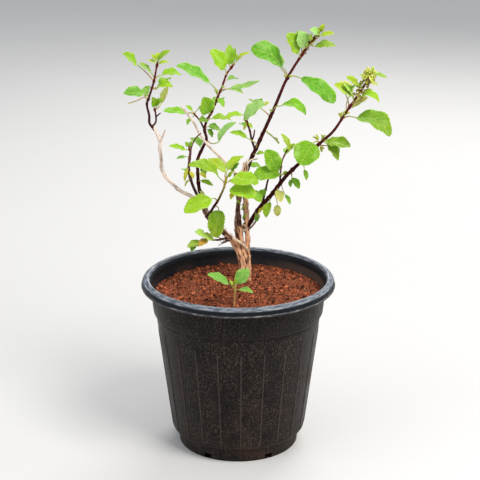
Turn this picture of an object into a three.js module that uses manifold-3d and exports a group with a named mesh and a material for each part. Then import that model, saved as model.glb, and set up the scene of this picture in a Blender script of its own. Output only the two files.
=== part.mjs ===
// A holy basil (tulsi) plant in its nursery pot. Millimetres, +Z up.
// The origin is the middle of the pot's foot, on the ground; the front of the plant faces -Y.
import * as THREE from 'three';
import { mergeVertices } from 'three/addons/utils/BufferGeometryUtils.js';
import Module from 'manifold-3d';

const wasm = await Module();
wasm.setup();

// ---- driving dimensions ----
const rimRadius = 101.7;
const potHeight = 184.4;
const wall = 1.6;
const potSides = 36;
const plate = { low: 5.5, high: 7.5, hubRadius: 12, radius: 61.6 };
const bodyLine = [[70.6, 18], [86.6, 144]]; // outer radius and height of the cone, ledge to step
const rib = { count: 22, offset: 2, width: 2.6, proud: 0.7, root: 0.8, low: 19.5, high: 133 };
const drain = { count: 6, offset: 30, width: 8.5, height: 5.5, holeRadius: 4, holeRing: 50, holeSides: 8 };

const soilTop = 165.6;
const soilSides = 30;
const soilRings = 5;
const mound = 2;
const crumb = 1.1;
const gap = 0.3; // round a stem in its hole
const wallGap = 0.7; // between the soil and the pot, measured at the corners of their sides

const stemStep = 14;
const stemSides = 5;
const twigStep = 8;
const twigSides = 4;
const trunkStep = 17;
const trunkSides = 6;

const bladeThickness = 0.7;
const stalkRadius = 0.65;
const shortStalk = 9; // a shorter stalk has no bend
const rootInset = 0.5; // where a stalk starts, as a share of the stem's radius
const smallLeaf = 9.5;
const largeLeaf = 23.5;
const usualFold = 14;
const toothDepth = 0.05;
const waveDepth = 0.06;

const randomSeed = 20871;

// ---- colours ----
const finish = {
  pot: { color: 0x2b2f33, roughness: 0.55, metalness: 0 },
  soil: { color: 0x7a3b26, roughness: 0.95, metalness: 0 },
  bark: { color: 0xb08a68, roughness: 0.85, metalness: 0 },
  foliage: { color: 0x77b82f, roughness: 0.5, metalness: 0 },
};

// ---- the plant, measured from its own front ----
// A stem is its route from root end to tip, and its radius at both ends.
// A leaf is [height of its node on the stem, where the blade starts, where it ends,
// width, tilt of its face from straight up towards the front in degrees, arch, fold].
const wood = {
  stump: { radius: [6, 4.6], route: [[8, 36, 138], [8, 36, 152], [7, 35, 163], [6, 34, 173]] },
  rightStrand: {
    radius: [2.8, 2.3],
    route: [[11, 36, 150], [11, 36, 166], [11, 36, 182], [10, 36, 197], [10, 36, 212], [9, 36, 225],
      [9, 36, 239], [8, 36, 253], [6, 36, 265], [6, 37, 280], [7, 38, 295]],
  },
  leftStrand: {
    radius: [4.2, 3],
    route: [[7, 35, 152], [6, 34, 173], [4, 34, 187], [2, 33, 195], [-1, 32, 203], [-6, 30, 212],
      [-11, 28, 219], [-17, 26, 225], [-24, 24, 231], [-29, 22, 238], [-34, 20, 248], [-37, 19, 258],
      [-39, 19, 266]],
  },
  middleStrand: {
    radius: [3.2, 2],
    route: [[8, 34, 178], [7, 33, 188], [4, 33, 204], [3, 33, 215], [1, 33, 226]],
  },
  innerStrand: {
    radius: [2.4, 1.2],
    route: [[6, 37, 190], [0, 40, 210], [-2, 40, 226], [-1, 40, 242], [0, 39, 255], [-2, 37, 271],
      [-3, 36, 285], [-13, 31, 298], [-24, 25, 311], [-32, 20, 321], [-39, 15, 332], [-45, 9, 346],
      [-53, 3, 359], [-57, 0, 365]],
  },
  backStrand: {
    radius: [2.2, 2],
    route: [[4, 38, 208], [2, 40, 226], [0, 43, 243], [1, 42, 254], [5, 39, 267], [7, 38, 280]],
  },
  leftBranch: {
    radius: [2, 1.7],
    route: [[-33, 19, 248], [-41, 17, 261], [-48, 15, 266], [-61, 12, 274], [-69, 10, 282], [-75, 9, 289],
      [-79, 8, 299], [-79, 7, 308], [-80, 6, 319], [-80, 6, 328], [-83, 6, 336], [-86, 6, 342]],
  },
  leftFork: { radius: [1.2, 0.9], route: [[-81, 6, 322], [-77, 5, 333], [-74, 4, 340]] },
  brokenTwig: { radius: [1.7, 1.3], route: [[10, 35, 200], [3, 27, 211], [-8, 23, 219], [-17, 20, 228]] },
  sideStub: { radius: [1.3, 0.8], route: [[9, 36, 222], [16, 31, 230], [19, 28, 236]] },
  upperStub: { radius: [1.4, 1], route: [[7, 38, 292], [13, 34, 300], [20, 30, 303]] },
};

const leafyStems = {
  tall_stem: {
    routes: [
      {
        radius: [2.1, 1.1],
        route: [[7, 38, 282], [13, 39, 299], [19, 40, 312], [30, 44, 336], [39, 48, 356], [49, 50, 380],
          [56, 49, 393], [65, 46, 408], [73, 43, 420], [81, 40, 432]],
      },
      { radius: [1.2, 0.9], route: [[18, 40, 309], [14, 34, 322], [12, 29, 333], [8, 24, 346]] },
      { radius: [0.8, 0.7], route: [[14, 35, 320], [16, 33, 326], [17, 31, 333]] },
    ],
    leaves: [
      [348, [45, 44, 356], [70, 36, 348], 15, 20, 0.28],
      [384, [45, 50, 396], [13, 36, 417], 24, 45, 0.2],
      [384, [65, 49, 384], [100, 40, 360], 21, 35, 0.1],
      [405, [62, 43, 412], [49, 36, 432], 20, 35, 0.05, 15],
      [410, [67, 44, 418], [62, 40, 435], 16, 35, 0.05, 20],
      [425, [83, 40, 432], [73, 36, 437], 9, 45, 0.05],
      [429, [84, 40, 434], [88, 38, 442], 7, 30, 0.02],
      [427, [84, 39, 430], [98, 34, 433], 8, 25, 0.06],
      [421, [79, 40, 419], [99, 30, 421], 11, 35, 0.1],
      [409, [70, 58, 415], [79, 80, 415], 13, -20, 0.15],
      [384, [44, 66, 392], [32, 90, 400], 16, -10, 0.15],
      [344, [22, 56, 352], [14, 78, 353], 14, -15, 0.15],
      [320, [29, 58, 325], [43, 76, 307], 11, 20, 0.03],
      [304, [19, 34, 307], [27, 28, 309], 6, 35, 0.08],
      [290, [13, 46, 290], [24, 54, 288], 9, 30, 0.1],
      [311, [9, 22, 327], [-9, 20, 333], 9, 25, 0.12],
    ],
    sideLeaves: [1, [
      [344, [6, 22, 348], [27, 12, 366], 18, 35, 0.05],
      [344, [5, 22, 351], [-14, 14, 349], 11, 15, 0.12],
      [341, [8, 22, 342], [6, 18, 336], 5, -20, 0],
      [333, [9, 36, 336], [2, 50, 335], 9, 15, 0.1],
    ]],
    buds: [[383, [47, 47, 389]], [384, [57, 46, 388]], [348, [33, 42, 353]], [428, [83, 42, 437]]],
  },
  right_stem: {
    routes: [
      {
        radius: [2.3, 0.9],
        route: [[10, 36, 227], [24, 28, 252], [32, 24, 262], [50, 14, 289], [61, 8, 302], [82, 0, 326],
          [96, -6, 341], [108, -12, 362], [118, -14, 378], [127, -15, 393], [132, -16, 406]],
      },
      { radius: [1.2, 0.8], route: [[25, 27, 253], [29, 32, 269], [32, 36, 280], [38, 38, 288]] },
      {
        radius: [0.9, 0.7],
        route: [[43, 17, 279], [44, 21, 289], [45, 25, 299], [47, 27, 305], [51, 28, 313]],
      },
    ],
    leaves: [
      [327, [76, -3, 328], [63, -14, 308], 28, 40, 0.04],
      [331, [89, -6, 329], [113, -14, 327], 17, 25, 0.1],
      [331, [90, -6, 330], [101, -12, 312], 14, 10, 0.08],
      [308, [68, 4, 298], [70, 0, 288], 6, -5, 0.05],
      [296, [56, 12, 287], [63, 6, 277], 8, 30, 0.1],
      [275, [41, 16, 273], [44, 8, 262], 10, 10, 0.1],
      [280, [49, 18, 267], [54, 16, 257], 6, 15, 0.1],
      [262, [33, 19, 259], [29, 12, 244], 9, 5, 0.15],
      [268, [41, 22, 255], [41, 20, 243], 8, 0, 0.2],
      [256, [27, 24, 252], [21, 20, 246], 4.5, 10, 0.05],
      [354, [119, -14, 357], [154, -25, 341], 24, 30, 0.26],
      [368, [113, -16, 380], [95, -22, 392], 12, 35, 0.08],
      [367, [114, -8, 381], [102, 2, 391], 11, 30, 0.05],
      [383, [119, -16, 390], [108, -20, 400], 8, 35, 0.08],
      [379, [122, -17, 379], [140, -24, 375], 10, 25, 0.34],
      [370, [117, -4, 368], [129, 6, 372], 9, 35, 0.08],
      [367, [107, 2, 380], [102, 24, 384], 13, -10, 0.12],
      [325, [96, 14, 322], [100, 34, 320], 14, -15, 0.12],
      [308, [68, 20, 312], [74, 41, 314], 12, -10, 0.12],
    ],
    sideLeaves: [1, [
      [269, [27, 28, 270], [24, 22, 262], 9, -5, 0.1],
      [280, [39, 40, 286], [47, 50, 289], 9, -5, 0.1],
    ]],
    twigLeaves: [2, [
      [287, [43, 18, 290], [15, 9, 288], 19, 35, 0.1],
      [295, [41, 20, 293], [28, 14, 316], 19, 50, 0.05],
      [312, [53, 26, 314], [44, 20, 332], 8, 35, 0.1],
      [301, [50, 38, 306], [55, 54, 308], 9, -10, 0.1],
    ]],
    buds: [[327, [76, 0, 337]], [328, [87, -5, 339]], [326, [87, -6, 319]], [353, [102, -9, 363]],
      [355, [111, -14, 365]], [287, [52, 20, 291], 2], [311, [58, 27, 318], 2], [246, [20, 25, 237]]],
    spike: { low: 384, whorls: 5, spacing: 4.6, perWhorl: 3, reach: 6, radius: 1.3 },
  },
  left_stem: {
    routes: [
      {
        radius: [1.3, 0.8],
        route: [[-85, 6, 339], [-90, 4, 347], [-90, 2, 355], [-92, -1, 368], [-90, -2, 374],
          [-87, -3, 383], [-84, -4, 393], [-82, -4, 403], [-80, -4, 412]],
      },
      { radius: [0.9, 0.8], route: [[-88, 5, 343], [-84, 7, 347], [-84, 9, 356], [-85, 9, 361]] },
      { radius: [0.7, 0.6], route: [[-84, 9, 352], [-81, 7, 355], [-79, 6, 357]] },
      { radius: [0.6, 0.8], route: [[-91, -1, 372], [-100, -7, 375], [-110, -12, 372]] },
    ],
    leaves: [
      [392, [-87, -4, 401], [-99, -9, 411], 8, 30, 0.08],
      [392, [-101, -8, 410], [-114, -16, 422], 15, 30, 0.05],
      [392, [-76, -2, 398], [-57, 6, 396], 13, 20, 0.14],
      [409, [-80, -5, 413], [-67, -9, 424], 8, 35, 0.1],
      [408, [-80, -2, 414], [-79, 5, 419], 7, 20, 0.1],
      [385, [-82, -5, 384], [-65, -13, 388], 12, 30, 0.26],
      [373, [-94, -5, 380], [-114, -17, 382], 14, 40, 0.08],
      [373, [-94, -3, 380], [-89, 3, 386], 8, 10, 0.05],
      [385, [-78, 12, 384], [-70, 34, 386], 12, -10, 0.15],
      [368, [-94, 12, 373], [-102, 32, 375], 12, -15, 0.15],
    ],
    sideLeaves: [1, [
      [360, [-78, 11, 366], [-71, 16, 383], 8, 15, 0.05],
      [360, [-85, 8, 363], [-87, 4, 374], 9, 30, 0.15],
      [360, [-83, 8, 363], [-75, 3, 372], 9, 35, 0.15],
    ]],
    buds: [[408, [-86, -8, 420]], [407, [-90, -8, 414]], [406, [-70, -3, 411]]],
  },
  middle_stem: {
    routes: [
      {
        radius: [1.9, 0.9],
        route: [[-38, 19, 263], [-41, 18, 276], [-42, 20, 291], [-42, 23, 304], [-37, 27, 315],
          [-33, 30, 324], [-35, 33, 333], [-33, 36, 341], [-27, 42, 351], [-22, 47, 363], [-17, 51, 374],
          [-12, 56, 387], [-8, 59, 392], [-4, 61, 397]],
      },
      { radius: [1, 0.7], route: [[-35, 33, 333], [-40, 30, 344], [-46, 26, 352]] },
    ],
    leaves: [
      [385, [-14, 54, 393], [-29, 48, 413], 19, 35, 0.05],
      [393, [-9, 60, 396], [-9, 62, 417], 11, 20, 0.08],
      [393, [-5, 64, 399], [-1, 70, 406], 8, -5, 0.1],
      [394, [-2, 61, 399], [13, 64, 408], 7, 15, 0.15],
      [365, [-30, 45, 380], [-63, 28, 401], 18, 30, 0.04],
      [370, [-9, 50, 373], [22, 40, 383], 11, 20, -0.08, 20],
      [370, [-8, 45, 373], [5, 40, 370], 7, 15, 0.1],
      [379, [-10, 62, 380], [0, 74, 378], 9, 20, 0.1],
      [350, [-31, 36, 350], [-36, 26, 369], 19, 45, 0.06],
      [357, [-21, 46, 363], [-15, 42, 355], 8, 10, 0.1],
      [344, [-32, 32, 344], [-40, 24, 344], 9, 40, 0.1],
      [342, [-27, 41, 343], [-7, 50, 339], 11, 20, 0.1],
      [333, [-31, 38, 335], [-19, 46, 330], 9, 40, 0.1],
      [331, [-32, 38, 332], [-27, 40, 323], 8, 25, 0.1],
      [323, [-20, 22, 323], [-2, 15, 345], 10, 30, 0.08, 35],
      [303, [-39, 24, 298], [-35, 22, 286], 8, 15, 0.1],
      [280, [-39, 16, 283], [-26, 10, 279], 6, 30, 0.1],
      [348, [-24, 62, 354], [-17, 82, 355], 13, -10, 0.1],
      [311, [-40, 42, 313], [-51, 62, 317], 13, -15, 0.1],
    ],
    sideLeaves: [1, [
      [352, [-52, 21, 354], [-76, 10, 358], 11, 30, 0.04],
      [349, [-48, 22, 348], [-52, 18, 342], 7, -5, 0.1],
    ]],
    buds: [[365, [-24, 44, 375]], [372, [-14, 47, 377]], [351, [-52, 21, 359], 1], [348, [-37, 22, 358], 1]],
  },
  gnarled_stem: {
    routes: [
      {
        radius: [1.7, 1.2],
        route: [[-34, 19, 251], [-40, 16, 262], [-46, 15, 275], [-49, 12, 285], [-51, 9, 296], [-50, 7, 308],
          [-49, 5, 317], [-50, 4, 323]],
      },
      { radius: [0.8, 0.6], route: [[-50, 6, 313], [-46, 6, 326], [-42, 8, 332], [-38, 10, 335]] },
    ],
    leaves: [
      [319, [-54, 2, 320], [-70, -8, 326], 9, 30, 0.04],
      [309, [-53, 4, 312], [-63, -2, 311], 5, 20, 0.05],
      [297, [-52, 6, 298], [-55, 2, 286], 5, 0, 0.05],
      [288, [-52, 18, 290], [-58, 32, 291], 9, -15, 0.1],
    ],
    buds: [[321, [-54, 1, 328]], [321, [-47, 1, 329]]],
  },
  centre_shoot: {
    routes: [
      {
        radius: [1.4, 0.9],
        route: [[-31, 19, 243], [-27, 13, 253], [-21, 7, 264], [-18, 4, 271], [-14, 0, 282], [-12, -2, 292]],
      },
    ],
    leaves: [
      [280, [-20, -6, 293], [-50, -20, 309], 16, 30, 0.2],
      [288, [-13, -2, 297], [-31, 6, 309], 13, 25, 0.1],
      [289, [-11, -2, 299], [6, 6, 312], 13, 10, 0.12],
      [262, [-28, 1, 268], [-55, -13, 257], 20, 35, 0.06],
      [257, [-21, 6, 253], [-21, 0, 226], 19, 5, 0.08],
    ],
    buds: [[289, [-5, -8, 298]], [285, [-5, -7, 290]]],
  },
  front_shoot: {
    routes: [{ radius: [1.1, 0.8], route: [[7, 36, 258], [6, 26, 267], [5, 16, 274], [6, 8, 282]] }],
    leaves: [
      [281, [20, 2, 287], [-7, -16, 290], 19, 40, 0.1],
      [278, [18, 2, 273], [-9, -13, 280], 18, 50, 0.1],
      [277, [-3, 4, 275], [-8, -2, 268], 6, 15, 0.1],
      [272, [9, 14, 270], [24, 5, 263], 15, 15, 0.12],
    ],
    buds: [],
  },
  low_shoot: {
    routes: [{ radius: [1.3, 0.8], route: [[-11, 28, 217], [-20, 20, 217], [-30, 12, 220], [-38, 7, 222]] }],
    leaves: [
      [221, [-36, 6, 225], [-45, 0, 231], 9, 35, 0.08],
      [219, [-28, 8, 224], [-37, 3, 227], 8, 35, 0.08],
      [221, [-34, 5, 221], [-43, -2, 219], 6, 35, 0.08],
      [222, [-40, 4, 220], [-53, -2, 216], 9, 35, 0.1],
      [222, [-44, 4, 218], [-49, 0, 211], 7, 20, 0.1],
    ],
    buds: [],
  },
  seedling: {
    routes: [
      { radius: [1.3, 0.8], route: [[-4, -42, 152], [-4, -42, 169], [-3, -42, 180], [-3, -42, 190]] },
    ],
    leaves: [
      [182, [-10, -44, 191], [-31, -50, 203], 12, 25, 0.06],
      [187, [-1, -43, 191], [11, -38, 205], 15, 35, 0.06],
      [181, [1, -45, 185], [15, -52, 184], 8, 15, 0.1],
      [188, [-5, -43, 190], [-9, -44, 194], 4, 30, 0],
      [188, [-3, -43, 191], [-2, -43, 196], 4, 10, 0],
    ],
    buds: [],
  },
};

// ---- solids ----
function solidOf(geometry) {
  const bare = geometry.clone();
  bare.deleteAttribute('normal');
  bare.deleteAttribute('uv');
  const merged = mergeVertices(bare, 1e-4);
  return new wasm.Manifold(new wasm.Mesh({
    numProp: 3,
    vertProperties: new Float32Array(merged.attributes.position.array),
    triVerts: new Uint32Array(merged.index.array),
  }));
}

function meshOf(name, solid, look) {
  const { vertProperties, triVerts } = solid.getMesh();
  const geometry = new THREE.BufferGeometry();
  geometry.setAttribute('position', new THREE.BufferAttribute(vertProperties, 3));
  geometry.setIndex(new THREE.BufferAttribute(triVerts, 1));
  geometry.computeVertexNormals();
  const mesh = new THREE.Mesh(geometry, new THREE.MeshStandardMaterial(look));
  mesh.name = name;
  return mesh;
}

function indexed(points, index) {
  const geometry = new THREE.BufferGeometry();
  geometry.setAttribute('position', new THREE.Float32BufferAttribute(points.flatMap((p) => p.toArray()), 3));
  geometry.setIndex(index);
  return geometry;
}

// Skins a row of rings, each with its points the same way round its path, and caps both ends.
function loft(rings) {
  const sides = rings[0].length;
  const index = [];
  for (let i = 0; i + 1 < rings.length; i++) {
    for (let k = 0; k < sides; k++) {
      const a = i * sides + k;
      const b = i * sides + ((k + 1) % sides);
      index.push(a, b, b + sides, a, b + sides, a + sides);
    }
  }
  const last = (rings.length - 1) * sides;
  for (let k = 1; k + 1 < sides; k++) {
    index.push(0, k + 1, k, last, last + k, last + k + 1);
  }
  return indexed(rings.flat(), index);
}

// The axis of a stem: evenly spaced places and frames along a smooth curve through its route.
function axisOf(route, step) {
  const curve = new THREE.CatmullRomCurve3(route.map((p) => new THREE.Vector3(...p)), false, 'centripetal');
  const steps = Math.max(1, Math.round(curve.getLength() / step));
  return { steps, points: curve.getSpacedPoints(steps), frames: curve.computeFrenetFrames(steps) };
}

// A tapering stem along a route; grow makes the same stem larger all round, for the hole it stands in.
function stem({ route, radius }, sides = stemSides, grow = 0, step = stemStep) {
  const { steps, points, frames } = axisOf(route, step);
  if (grow) points[0].addScaledVector(frames.tangents[0], -grow);
  return solidOf(loft(points.map((centre, i) => {
    const size = THREE.MathUtils.lerp(radius[0], radius[1], i / steps) + grow;
    return Array.from({ length: sides }, (_, k) => {
      const turn = (2 * Math.PI * k) / sides;
      return centre.clone()
        .addScaledVector(frames.normals[i], size * Math.cos(turn))
        .addScaledVector(frames.binormals[i], size * Math.sin(turn));
    });
  })));
}

// The point of a stem's axis at a height above the ground, and the stem's radius there.
function nodeOf({ route, radius, step }, height) {
  const { steps, points } = axisOf(route, step);
  let i = points.findIndex((p, k) => k && (points[k - 1].z - height) * (p.z - height) <= 0);
  if (i < 0) i = steps;
  const part = THREE.MathUtils.clamp((height - points[i - 1].z) / (points[i].z - points[i - 1].z), 0, 0.97);
  const point = points[i - 1].clone().lerp(points[i], part);
  return { point, size: THREE.MathUtils.lerp(radius[0], radius[1], (i - 1 + part) / steps) };
}

// A leaf in one skin: a slim stalk from just inside the stem, then a thin blade along an arched midrib,
// folded a little and with toothed, waved edges. The smallest leaves have no midrib column,
// and the largest are blunter at both ends.
function leaf(carrier, [height, start, end, width, tilt, arch, fold = usualFold]) {
  const base = new THREE.Vector3(...start);
  const along = new THREE.Vector3(...end).sub(base);
  const length = along.length();
  along.normalize();
  const lean = THREE.MathUtils.degToRad(tilt);
  const face = new THREE.Vector3(0, -Math.sin(lean), Math.cos(lean));
  face.addScaledVector(along, -face.dot(along)).normalize();
  const side = new THREE.Vector3().crossVectors(along, face);
  const small = length < smallLeaf;
  const large = length > largeLeaf;
  const columns = small ? [-1, 1] : [-1, 0, 1];
  const rise = small ? 0 : Math.tan(THREE.MathUtils.degToRad(fold));
  const depth = bladeThickness * Math.sqrt(1 + rise * rise);
  const steps = large ? 5 : small ? 2 : 3;
  const rows = stalkRows(nodeOf(carrier, height), base, along, face);
  for (let i = 1; i <= steps; i++) {
    const u = i / steps;
    const centre = base.clone().addScaledVector(along, length * u);
    centre.addScaledVector(face, 4 * arch * length * u * (1 - u));
    const up = face.clone().addScaledVector(along, -4 * arch * (1 - 2 * u)).normalize();
    const tooth = small ? 1 : 1 + (i % 2 ? toothDepth : -toothDepth);
    const outline = large ? Math.sin(Math.PI * u ** 0.92) ** 0.55 : Math.sin(Math.PI * u ** 0.85) ** 0.72;
    const half = Math.max(0.5, 0.5 * width * tooth * outline);
    const wave = small ? 0 : waveDepth * half * Math.sin(5 * u + length);
    rows.push({ columns, centre, side, up, half, rise, wave, depth });
  }
  return solidOf(sheet(rows));
}

// The stalk's rows, with the blade's own frame turned back along it to the stem.
function stalkRows({ point: node, size }, base, along, face) {
  const reach = node.distanceTo(base);
  node.addScaledVector(base.clone().sub(node).normalize(), Math.min(rootInset * size, 0.4 * reach));
  const bend = base.clone().addScaledVector(along, -0.4 * reach).lerp(node, 0.35);
  const short = reach < shortStalk;
  const places = short ? [base, node] : [base, bend, node];
  const headings = [along, base.clone().sub(node).normalize(), bend.clone().sub(node).normalize()];
  const turn = new THREE.Quaternion();
  const up = face.clone();
  return places.map((place, i) => {
    if (i) up.applyQuaternion(turn.setFromUnitVectors(headings[i - 1], headings[i]));
    const side = new THREE.Vector3().crossVectors(headings[i], up);
    const centre = place.clone().addScaledVector(up, stalkRadius);
    const depth = 2 * stalkRadius;
    return { columns: [-1, 1], centre, side, up: up.clone(), half: stalkRadius, rise: 0, wave: 0, depth };
  }).reverse();
}

// Skins rows of a sheet on both faces, split into the same triangles above and below, and closes its rim.
function sheet(rows) {
  const upper = [];
  const lower = [];
  const firsts = rows.map(({ columns, centre, side, up, half, rise, wave, depth }) => {
    const first = upper.length;
    for (const across of columns) {
      const point = centre.clone()
        .addScaledVector(side, across * half)
        .addScaledVector(up, Math.abs(across) * half * rise + across * wave);
      upper.push(point);
      lower.push(point.clone().addScaledVector(up, -depth));
    }
    return first;
  });
  const below = upper.length;
  const index = [];
  const both = (a, b, c) => index.push(a, b, c, below + a, below + c, below + b);
  const quad = (a, b, c, d) => index.push(a, b, c, a, c, d);
  for (let i = 0; i + 1 < rows.length; i++) {
    const [a, b] = [firsts[i], firsts[i + 1]];
    const lastA = a + rows[i].columns.length - 1;
    const lastB = b + rows[i + 1].columns.length - 1;
    if (lastA - a === lastB - b) {
      for (let j = 0; a + j < lastA; j++) {
        both(a + j, a + j + 1, b + j + 1);
        both(a + j, b + j + 1, b + j);
      }
    } else {
      both(a, b + 1, b);
      both(a, lastA, b + 1);
      both(lastA, lastB, b + 1);
    }
    quad(a, b, below + b, below + a);
    quad(lastB, lastA, below + lastA, below + lastB);
  }
  quad(1, 0, below, below + 1);
  const end = firsts[rows.length - 1];
  for (let j = end; j + 1 < below; j++) quad(j, j + 1, below + j + 1, below + j);
  return indexed([...upper, ...lower], index);
}

function bud(carrier, height, point) {
  const node = nodeOf(carrier, height).point;
  return stem({ route: [node.toArray(), point], radius: [1.1, 0.4] }, 3, 0, 50);
}

// Whorls of small bracts round the flowering tip of a stem.
function flowerSpike(carrier, { low, whorls, spacing, perWhorl, reach, radius }) {
  const bracts = [];
  for (let i = 0; i < whorls; i++) {
    const centre = nodeOf(carrier, low + i * spacing).point;
    for (let k = 0; k < perWhorl; k++) {
      const turn = (2 * Math.PI * (k + 0.5 * (i % 2))) / perWhorl + 0.4;
      const out = new THREE.Vector3(Math.cos(turn), Math.sin(turn), 0.55);
      const point = centre.clone().addScaledVector(out, reach * (1 - 0.08 * i));
      bracts.push(stem({ route: [centre.toArray(), point.toArray()], radius: [radius, 0.55] }, 3, 0, 50));
    }
  }
  return bracts;
}

function leafyStem(plan) {
  const [main, ...twigs] = plan.routes;
  const carriers = [{ ...main, step: stemStep }, ...twigs.map((twig) => ({ ...twig, step: twigStep }))];
  const pieces = carriers.map((c, i) => stem(c, i ? twigSides : stemSides, 0, c.step));
  const carried = [[0, plan.leaves], plan.sideLeaves, plan.twigLeaves].filter(Boolean);
  for (const [which, leaves] of carried) {
    for (const row of leaves) pieces.push(leaf(carriers[which], row));
  }
  for (const [height, point, which = 0] of plan.buds) pieces.push(bud(carriers[which], height, point));
  if (plan.spike) pieces.push(...flowerSpike(carriers[0], plan.spike));
  return wasm.Manifold.union(pieces);
}

// ---- the woody framework ----
function trunk() {
  const pieces = Object.values(wood).map((r) => stem(r, trunkSides, 0, trunkStep));
  let solid = wasm.Manifold.union(pieces);
  for (const [name, plan] of Object.entries(leafyStems)) {
    if (name !== 'seedling') solid = solid.subtract(stem(plan.routes[0], stemSides, gap));
  }
  return solid;
}

// ---- the pot ----
function potWall() {
  const outside = [
    [0, 0], [plate.hubRadius, 0], [plate.hubRadius + 1, plate.low], [plate.radius, plate.low],
    [plate.radius + 0.2, 0], [63.4, 0], [64.7, 15.9], [69.3, 16.3], ...bodyLine, [89.1, 147], [91.2, 178.4],
  ];
  const lip = [
    [98.8, 178.4], [99.7, 174.7], [101.2, 174.7], [rimRadius, 176.3], [100.7, 178.8], [99.7, 181.6],
    [96.6, potHeight - 0.4], [94.9, potHeight], [93.6, 183], [93.1, 180.4],
  ];
  const bodyInside = bodyLine.map(([r, z]) => [r - wall, z + 1.4]).reverse();
  const inside = [
    [90.3, 179.2], [87.7, 149.5], ...bodyInside,
    [67.9, 17.9], [63.2, 17.4], [62.4, plate.high], [0, plate.high],
  ];
  const profile = [...outside, ...lip, ...inside].map(([r, z]) => new THREE.Vector2(r, z));
  const geometry = new THREE.LatheGeometry(profile, potSides);
  geometry.rotateX(Math.PI / 2);
  return solidOf(geometry);
}

function bodyRadius(height) {
  const [[r0, z0], [r1, z1]] = bodyLine;
  return r0 + ((r1 - r0) * (height - z0)) / (z1 - z0);
}

function wallRib(angle) {
  const heights = [rib.low, rib.high];
  const outer = heights.map((z) => new THREE.Vector2(bodyRadius(z) + rib.proud, z));
  const inner = heights.map((z) => new THREE.Vector2(bodyRadius(z) - rib.root, z)).reverse();
  const shape = new THREE.Shape([...outer, ...inner]);
  const geometry = new THREE.ExtrudeGeometry(shape, { depth: rib.width, bevelEnabled: false });
  geometry.translate(0, 0, -rib.width / 2);
  geometry.rotateX(Math.PI / 2);
  geometry.rotateZ(angle);
  return solidOf(geometry);
}

function drainCuts(angle) {
  const notch = new THREE.BoxGeometry(8, drain.width, 2 * drain.height);
  notch.translate(61, 0, 0);
  const hole = new THREE.CylinderGeometry(drain.holeRadius, drain.holeRadius, 10, drain.holeSides);
  hole.rotateX(Math.PI / 2);
  hole.translate(drain.holeRing, 0, plate.low);
  return [notch, hole].map((cut) => solidOf(cut.rotateZ(angle)));
}

// The angle of copy i of a ring of count, counted from the front.
function ringAngle(i, { count, offset }) {
  return THREE.MathUtils.degToRad(-90 + offset + (i * 360) / count);
}

function pot() {
  let solid = potWall();
  for (let i = 0; i < rib.count; i++) solid = solid.add(wallRib(ringAngle(i, rib)));
  for (let i = 0; i < drain.count; i++) {
    for (const cut of drainCuts(ringAngle(i, drain))) solid = solid.subtract(cut);
  }
  return solid;
}

// ---- the soil ----
function soilRing(radius, heightOf) {
  return Array.from({ length: soilSides }, (_, k) => {
    const turn = (2 * Math.PI * k) / soilSides;
    return new THREE.Vector3(radius * Math.cos(turn), radius * Math.sin(turn), heightOf());
  });
}

function soil() {
  let state = randomSeed;
  const random = () => {
    state = (state * 1664525 + 1013904223) % 4294967296;
    return state / 4294967296;
  };
  const side = [
    [61.6, plate.high + gap], [62.4, 18.2], [67.2, 18.7],
    ...bodyLine.map(([r, z]) => [r - wall - wallGap, z + 2.2]), [87, 150.4], [88.3, soilTop],
  ];
  const rings = side.map(([r, z]) => soilRing(r, () => z));
  const edge = side[side.length - 1][0];
  for (let i = 1; i < soilRings; i++) {
    const share = 1 - i / soilRings;
    const middle = soilTop + mound * (1 - share ** 2);
    rings.push(soilRing(edge * share, () => middle + crumb * (2 * random() - 1)));
  }
  let solid = solidOf(loft(rings));
  for (const root of [wood.stump, wood.rightStrand, wood.leftStrand]) {
    solid = solid.subtract(stem(root, trunkSides, gap, trunkStep));
  }
  return solid.subtract(stem(leafyStems.seedling.routes[0], stemSides, gap));
}

// ---- the assembly ----
const plant = new THREE.Group();
plant.add(meshOf('pot', pot(), finish.pot));
plant.add(meshOf('soil', soil(), finish.soil));
plant.add(meshOf('trunk', trunk(), finish.bark));
for (const [name, plan] of Object.entries(leafyStems)) {
  plant.add(meshOf(name, leafyStem(plan), finish.foliage));
}

export default plant;
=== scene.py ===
# Holy basil plant in its nursery pot: the looks around the fixed model.
# Metres, +Z up, the plant's front towards -Y. Routes and leaves are written in millimetres.
import math

import bpy
import numpy as np
from mathutils import Matrix, Vector, noise


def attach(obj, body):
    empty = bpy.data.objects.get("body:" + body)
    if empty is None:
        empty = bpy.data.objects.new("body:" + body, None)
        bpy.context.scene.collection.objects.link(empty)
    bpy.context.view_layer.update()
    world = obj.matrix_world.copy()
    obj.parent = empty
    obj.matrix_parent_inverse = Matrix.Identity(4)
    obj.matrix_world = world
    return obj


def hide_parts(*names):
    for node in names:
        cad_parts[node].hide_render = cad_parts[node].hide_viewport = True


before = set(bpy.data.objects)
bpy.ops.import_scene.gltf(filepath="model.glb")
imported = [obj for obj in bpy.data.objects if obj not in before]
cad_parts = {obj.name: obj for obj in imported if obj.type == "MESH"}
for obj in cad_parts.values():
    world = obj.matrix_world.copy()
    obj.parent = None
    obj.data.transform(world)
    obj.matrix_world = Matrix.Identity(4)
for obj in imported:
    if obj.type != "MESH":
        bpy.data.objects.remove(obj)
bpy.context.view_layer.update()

mm = 0.001


def plug(tree, socket, value):
    # a socket takes another node's output, a colour of three numbers, or a plain value
    if isinstance(value, bpy.types.NodeSocket):
        tree.links.new(value, socket)
    elif socket.type == "RGBA":
        socket.default_value = (*value, 1.0)
    else:
        socket.default_value = value


def addNode(tree, kind, inputs=None, **settings):
    made = tree.nodes.new(kind)
    for key, value in settings.items():
        setattr(made, key, value)
    for key, value in (inputs or {}).items():
        plug(tree, made.inputs[key], value)
    return made


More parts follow.
